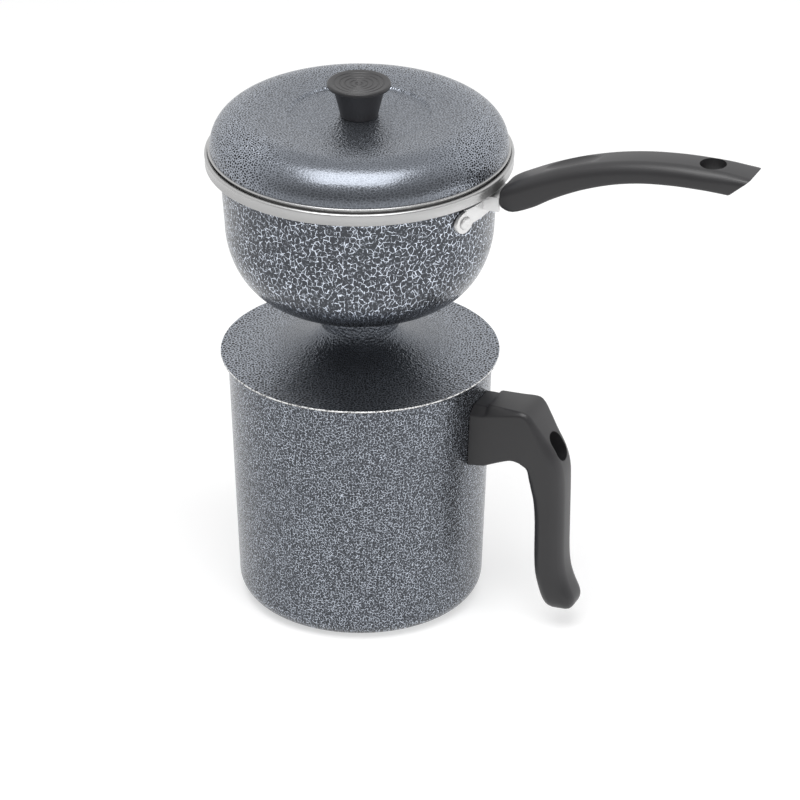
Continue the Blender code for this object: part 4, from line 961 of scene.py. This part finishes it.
def make_bowl_handle():
    """A long arched handle with a rounded front, a thumb hollow and a sloping end."""
    start, end = BOWL_HANDLE_START, BOWL_HANDLE_START + BOWL_HANDLE_LENGTH
    tongue_foot = CHANNEL_TOP - BRACKET_SHEET

    def rounded(radius):
        return (0.586 * radius * MM, 0.586 * radius * MM, 0.40 * radius * MM)

    stations = [
        ((start, CHANNEL_TOP + 3.2 * MM), (start, tongue_foot - 2.2 * MM), 9 * MM,
         rounded(2.5), rounded(2.5)),
        ((start + 1.0 * MM, CHANNEL_TOP + 5.6 * MM),
         (start + 1.4 * MM, tongue_foot - 3.9 * MM), 11 * MM, rounded(4), rounded(3.5)),
        ((start + 6 * MM, bowl_handle_top(start + 6 * MM)),
         (start + 8 * MM, tongue_foot - 4.6 * MM), BOWL_HANDLE_HALF, rounded(6), rounded(3)),
    ]
    for share in (0.087, 0.16, 0.24, 0.333, 0.45, 0.57, 0.7, 0.81):
        top, bottom = bowl_handle_section(start + share * BOWL_HANDLE_LENGTH)
        stations.append((top, bottom, BOWL_HANDLE_HALF, rounded(6.4), rounded(2.4)))
    tip_foot = bowl_handle_section(end)[1]
    before_tip, before_foot = bowl_handle_section(end - 1.4 * BOWL_HANDLE_UNDERCUT)
    stations += [
        (before_tip, (before_foot[0] - 0.3 * BOWL_HANDLE_UNDERCUT, before_foot[1]), 11.65 * MM,
         rounded(5.6), rounded(2.4)),
        ((end, bowl_handle_top(end)), (tip_foot[0] - BOWL_HANDLE_UNDERCUT, tip_foot[1] + MM),
         11 * MM, rounded(4.4), rounded(2)),
    ]
    handle = drawn_bar("bowl_handle_moulding", between(stations, 4), 0.6 * MM)

    # A slot for the bracket's tongue, with a screw from below
    tongue_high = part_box("bowl_bracket")[1]
    half = BOWL_TONGUE_HALF + GAP
    cut(handle, block_cutter((start - REACH, -half, tongue_foot - GAP),
                             (tongue_high.x + GAP, half, CHANNEL_TOP + GAP)))
    screw_low, screw_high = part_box("bowl_handle_screw")
    screw_at = (screw_low.x + screw_high.x) / 2
    cut(handle, round_cutter(screw_at, SCREW_HEAD_RADIUS + 2 * GAP, screw_low.z - REACH,
                             tongue_foot))
    cut(handle, round_cutter(screw_at, SCREW_RADIUS + GAP, screw_low.z, screw_high.z + GAP))

    # Thumb hollow in the top, and the hang hole
    bpy.ops.object.select_all(action="DESELECT")
    hollow_at = start + THUMB_HOLLOW_AT
    bpy.ops.mesh.primitive_uv_sphere_add(segments=SMALL_ROUND, ring_count=32, radius=1)
    cutter = named("cutter")
    cutter.scale = THUMB_HOLLOW
    slope = atan2(bowl_handle_top(hollow_at + 10 * MM) - bowl_handle_top(hollow_at - 10 * MM),
                  20 * MM)
    cutter.rotation_euler = (0, -slope, 0)
    cutter.location = (hollow_at, 0, bowl_handle_top(hollow_at) + THUMB_HOLLOW_LIFT)
    place_in_mesh(cutter)
    cut(handle, cutter)
    hang_at = end - BOWL_HANG_FROM_END
    cut(handle, round_cutter(hang_at, BOWL_HANG_RADIUS, bowl_handle_top(hang_at) - 22 * MM,
                             bowl_handle_top(hang_at) + REACH))
    smooth(handle, 24)
    finish_piece(handle, "bowl", "black_bakelite", BAKELITE, "bowl_handle")


def bowl_wall_radius(height):
    """Radius of the bowl's outside between its belly and its neck."""
    low = BOWL_LOW.z + BOWL_BELLY_HEIGHT
    share = (height - low) / (BOWL_HIGH.z - BOWL_RIM_HEIGHT - low)
    return BOWL_BELLY_RADIUS + share * (BOWL_NECK_RADIUS - BOWL_BELLY_RADIUS)


def make_bowl_bracket():
    """A sheet round the wall with two ears, and a channel with a tongue for the handle."""
    rivet_height = BOWL_HIGH.z - BOWL_RIVET_DROP
    low, high = rivet_height - EAR_RADIUS - MM, CHANNEL_TOP
    foot, head = bowl_wall_radius(low) + GAP, bowl_wall_radius(high) + GAP
    sheet = [(foot, low), (foot + BRACKET_SHEET, low), (head + BRACKET_SHEET, high), (head, high)]
    bracket = turned("bowl_bracket_sheet", sheet + sheet[:1])
    side = bowl_wall_radius(rivet_height) * sin(BOWL_RIVET_ANGLE)
    window = block_cutter((50 * MM, -side, rivet_height - 2.4 * MM),
                          (90 * MM, side, rivet_height + 7.2 * MM))
    for y in (-side, side):
        bpy.ops.object.select_all(action="DESELECT")
        bpy.ops.mesh.primitive_cylinder_add(vertices=SMALL_ROUND, radius=EAR_RADIUS, depth=40 * MM,
                                            location=(70 * MM, y, rivet_height),
                                            rotation=(0, pi / 2, 0))
        disc = named("ear")
        place_in_mesh(disc)
        cut(window, disc, "UNION")
    cut(bracket, window, "INTERSECT")

    outer = CHANNEL_HALF
    inner = outer - BRACKET_SHEET
    front = BOWL_HANDLE_START - GAP
    bottom = high - CHANNEL_DEPTH
    back = bowl_wall_radius(rivet_height) + 2 * GAP
    channel = block_cutter((back, -outer, bottom), (front, outer, high))
    cut(channel, block_cutter((back - MM, -inner, bottom - MM),
                              (front + MM, inner, high - BRACKET_SHEET)))
    cut(channel, turned("cutter", [(0, bottom - MM), (bowl_wall_radius(bottom) + GAP, bottom - MM),
                                   (bowl_wall_radius(high) + GAP, high + MM), (0, high + MM)]))
    cut(bracket, channel, "UNION")
    tongue = block_cutter((front - 3 * MM, -BOWL_TONGUE_HALF, high - BRACKET_SHEET),
                          (BOWL_HANDLE_START + BOWL_TONGUE_LENGTH, BOWL_TONGUE_HALF,
                           high - 0.01 * MM))
    cut(bracket, tongue, "UNION")
    screw_low, screw_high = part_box("bowl_handle_screw")
    cut(bracket, round_cutter((screw_low.x + screw_high.x) / 2, SCREW_RADIUS + GAP,
                              high - REACH, high + REACH))
    apply_modifier(bracket, "BEVEL", width=0.35 * MM, segments=2, limit_method="ANGLE",
                   angle_limit=radians(40))
    smooth(bracket, 30)
    finish_piece(bracket, "bowl", "plated_steel", STEEL, "bowl_bracket")

    # Dimpled rivets, through sheet and wall
    slope = atan2(BOWL_NECK_RADIUS - BOWL_BELLY_RADIUS,
                  BOWL_HIGH.z - BOWL_RIM_HEIGHT - BOWL_LOW.z - BOWL_BELLY_HEIGHT)
    seat = bowl_wall_radius(rivet_height) + (GAP + BRACKET_SHEET) / cos(slope)
    inside = BOWL_WALL + BRACKET_SHEET + 2 * GAP
    dome = superellipse((1.5 * MM, 0.3 * MM), 2.2 * MM, RIVET_HEAD_HEIGHT - 0.3 * MM, 2.4, 12)
    outline = [(0.0, 1.25 * MM), (0.8 * MM, 1.3 * MM), (1.25 * MM, 1.5 * MM)] + dome[::-1]
    tail = -inside - RIVET_TAIL
    outline += [(3.6 * MM, 0.0), (RIVET_RADIUS, 0.0), (RIVET_RADIUS, -inside),
                (3.3 * MM, -inside), (3.2 * MM, -inside - 0.6 * MM), (2.6 * MM, tail),
                (0.0, tail)]
    for turn, node in ((-BOWL_RIVET_ANGLE, "bowl_rivet_front"),
                       (BOWL_RIVET_ANGLE, "bowl_rivet_back")):
        rivet = turned(node + "_turned", outline, SMALL_ROUND)
        rivet.rotation_euler = (0, pi / 2 + slope, turn)
        rivet.location = (seat * cos(turn), seat * sin(turn), rivet_height)
        place_in_mesh(rivet)
        finish_piece(rivet, "bowl", "plated_steel", STEEL, node)


def dress_cad_nodes():
    finishes = {"crackle_paint": MUG_PAINT, "bare_aluminium": LINING,
                "black_bakelite": BAKELITE, "plated_steel": STEEL, "brass": BRASS}
    for row in frame["record"]["subparts"]:
        node = frame["nodes"][row["node"]]
        for material_slot in node.material_slots:
            material_slot.material = finishes[row["material_slot"]]


def set_stage():
    """A white floor that keeps soft shadows, in a white studio with one darker side."""
    floor = Finish("studio_floor")
    floor.set(base_color=rgb(0.54), roughness=0.9, emission_strength=0.53,
              emission_color=floor.mix(floor.seen(), rgb(0), rgb(1)))
    bpy.ops.object.select_all(action="DESELECT")
    bpy.ops.mesh.primitive_plane_add(size=8, location=(0, 0, 0))
    ground = named("studio_floor")
    ground.data.materials.append(floor.data)

    world = bpy.data.worlds.new("studio")
    bpy.context.scene.world = world
    world.use_nodes = True
    studio = Nodes(world.node_tree)
    way = studio.node("ShaderNodeTexCoord", {}, {}).outputs["Generated"]
    x, y, z = studio.axes(way)
    front = studio.ramp(x * sin(DARK_SIDE) - y * cos(DARK_SIDE), -0.2, 0.6)
    low = 1 - studio.ramp(z, 0.25, 0.75)
    paths = studio.node("ShaderNodeLightPath", {}, {})
    glossy = Socket(studio, paths.outputs["Is Glossy Ray"])
    diffuse = Socket(studio, paths.outputs["Is Diffuse Ray"])
    fill = 1 - 0.62 * glossy * front * (0.45 + 0.55 * low) - 0.58 * diffuse
    studio.feed(world.node_tree.nodes["Background"].inputs["Strength"], fill)
    world.node_tree.nodes["Background"].inputs["Color"].default_value = rgb(1)


def soft_box(name, location, target, size, energy, mirrored=True):
    light = bpy.data.lights.new(name, "AREA")
    light.shape = "RECTANGLE"
    light.size, light.size_y = size
    light.energy = energy
    lamp = bpy.data.objects.new(name, light)
    lamp.visible_glossy = mirrored
    bpy.context.scene.collection.objects.link(lamp)
    lamp.location = location
    aim = Vector(target) - Vector(location)
    lamp.rotation_euler = aim.to_track_quat("-Z", "Y").to_euler()


def set_lights():
    middle = (0, 0, 0.2)
    soft_box("top_softbox", (0.12, -0.45, 1.5), middle, (1.2, 1.05), 20)
    soft_box("side_softbox", (1.7, 0.05, 0.3), (0.1, 0, 0.12), (0.8, 0.5), 20,
             mirrored=False)


def set_camera():
    azimuth, pitch = CAMERA_AZIMUTH, CAMERA_PITCH
    right, height = CAMERA_TARGET
    target = Vector((right * cos(azimuth), right * sin(azimuth), height))
    back = Vector((sin(azimuth) * cos(pitch), -cos(azimuth) * cos(pitch), sin(pitch)))
    data = bpy.data.cameras.new("camera")
    data.lens, data.sensor_width = 225, 36
    camera = bpy.data.objects.new("camera", data)
    bpy.context.scene.collection.objects.link(camera)
    camera.location = target + back * CAMERA_DISTANCE
    camera.rotation_euler = (-back).to_track_quat("-Z", "Y").to_euler()
    bpy.context.scene.camera = camera


set_camera()
dress_cad_nodes()
make_boiler()
make_cone()
make_bowl()
make_lid()
make_lid_knob()
make_boiler_handle()
make_bowl_handle()
make_bowl_bracket()
set_stage()
set_lights()
bpy.context.scene.view_settings.view_transform = "Standard"
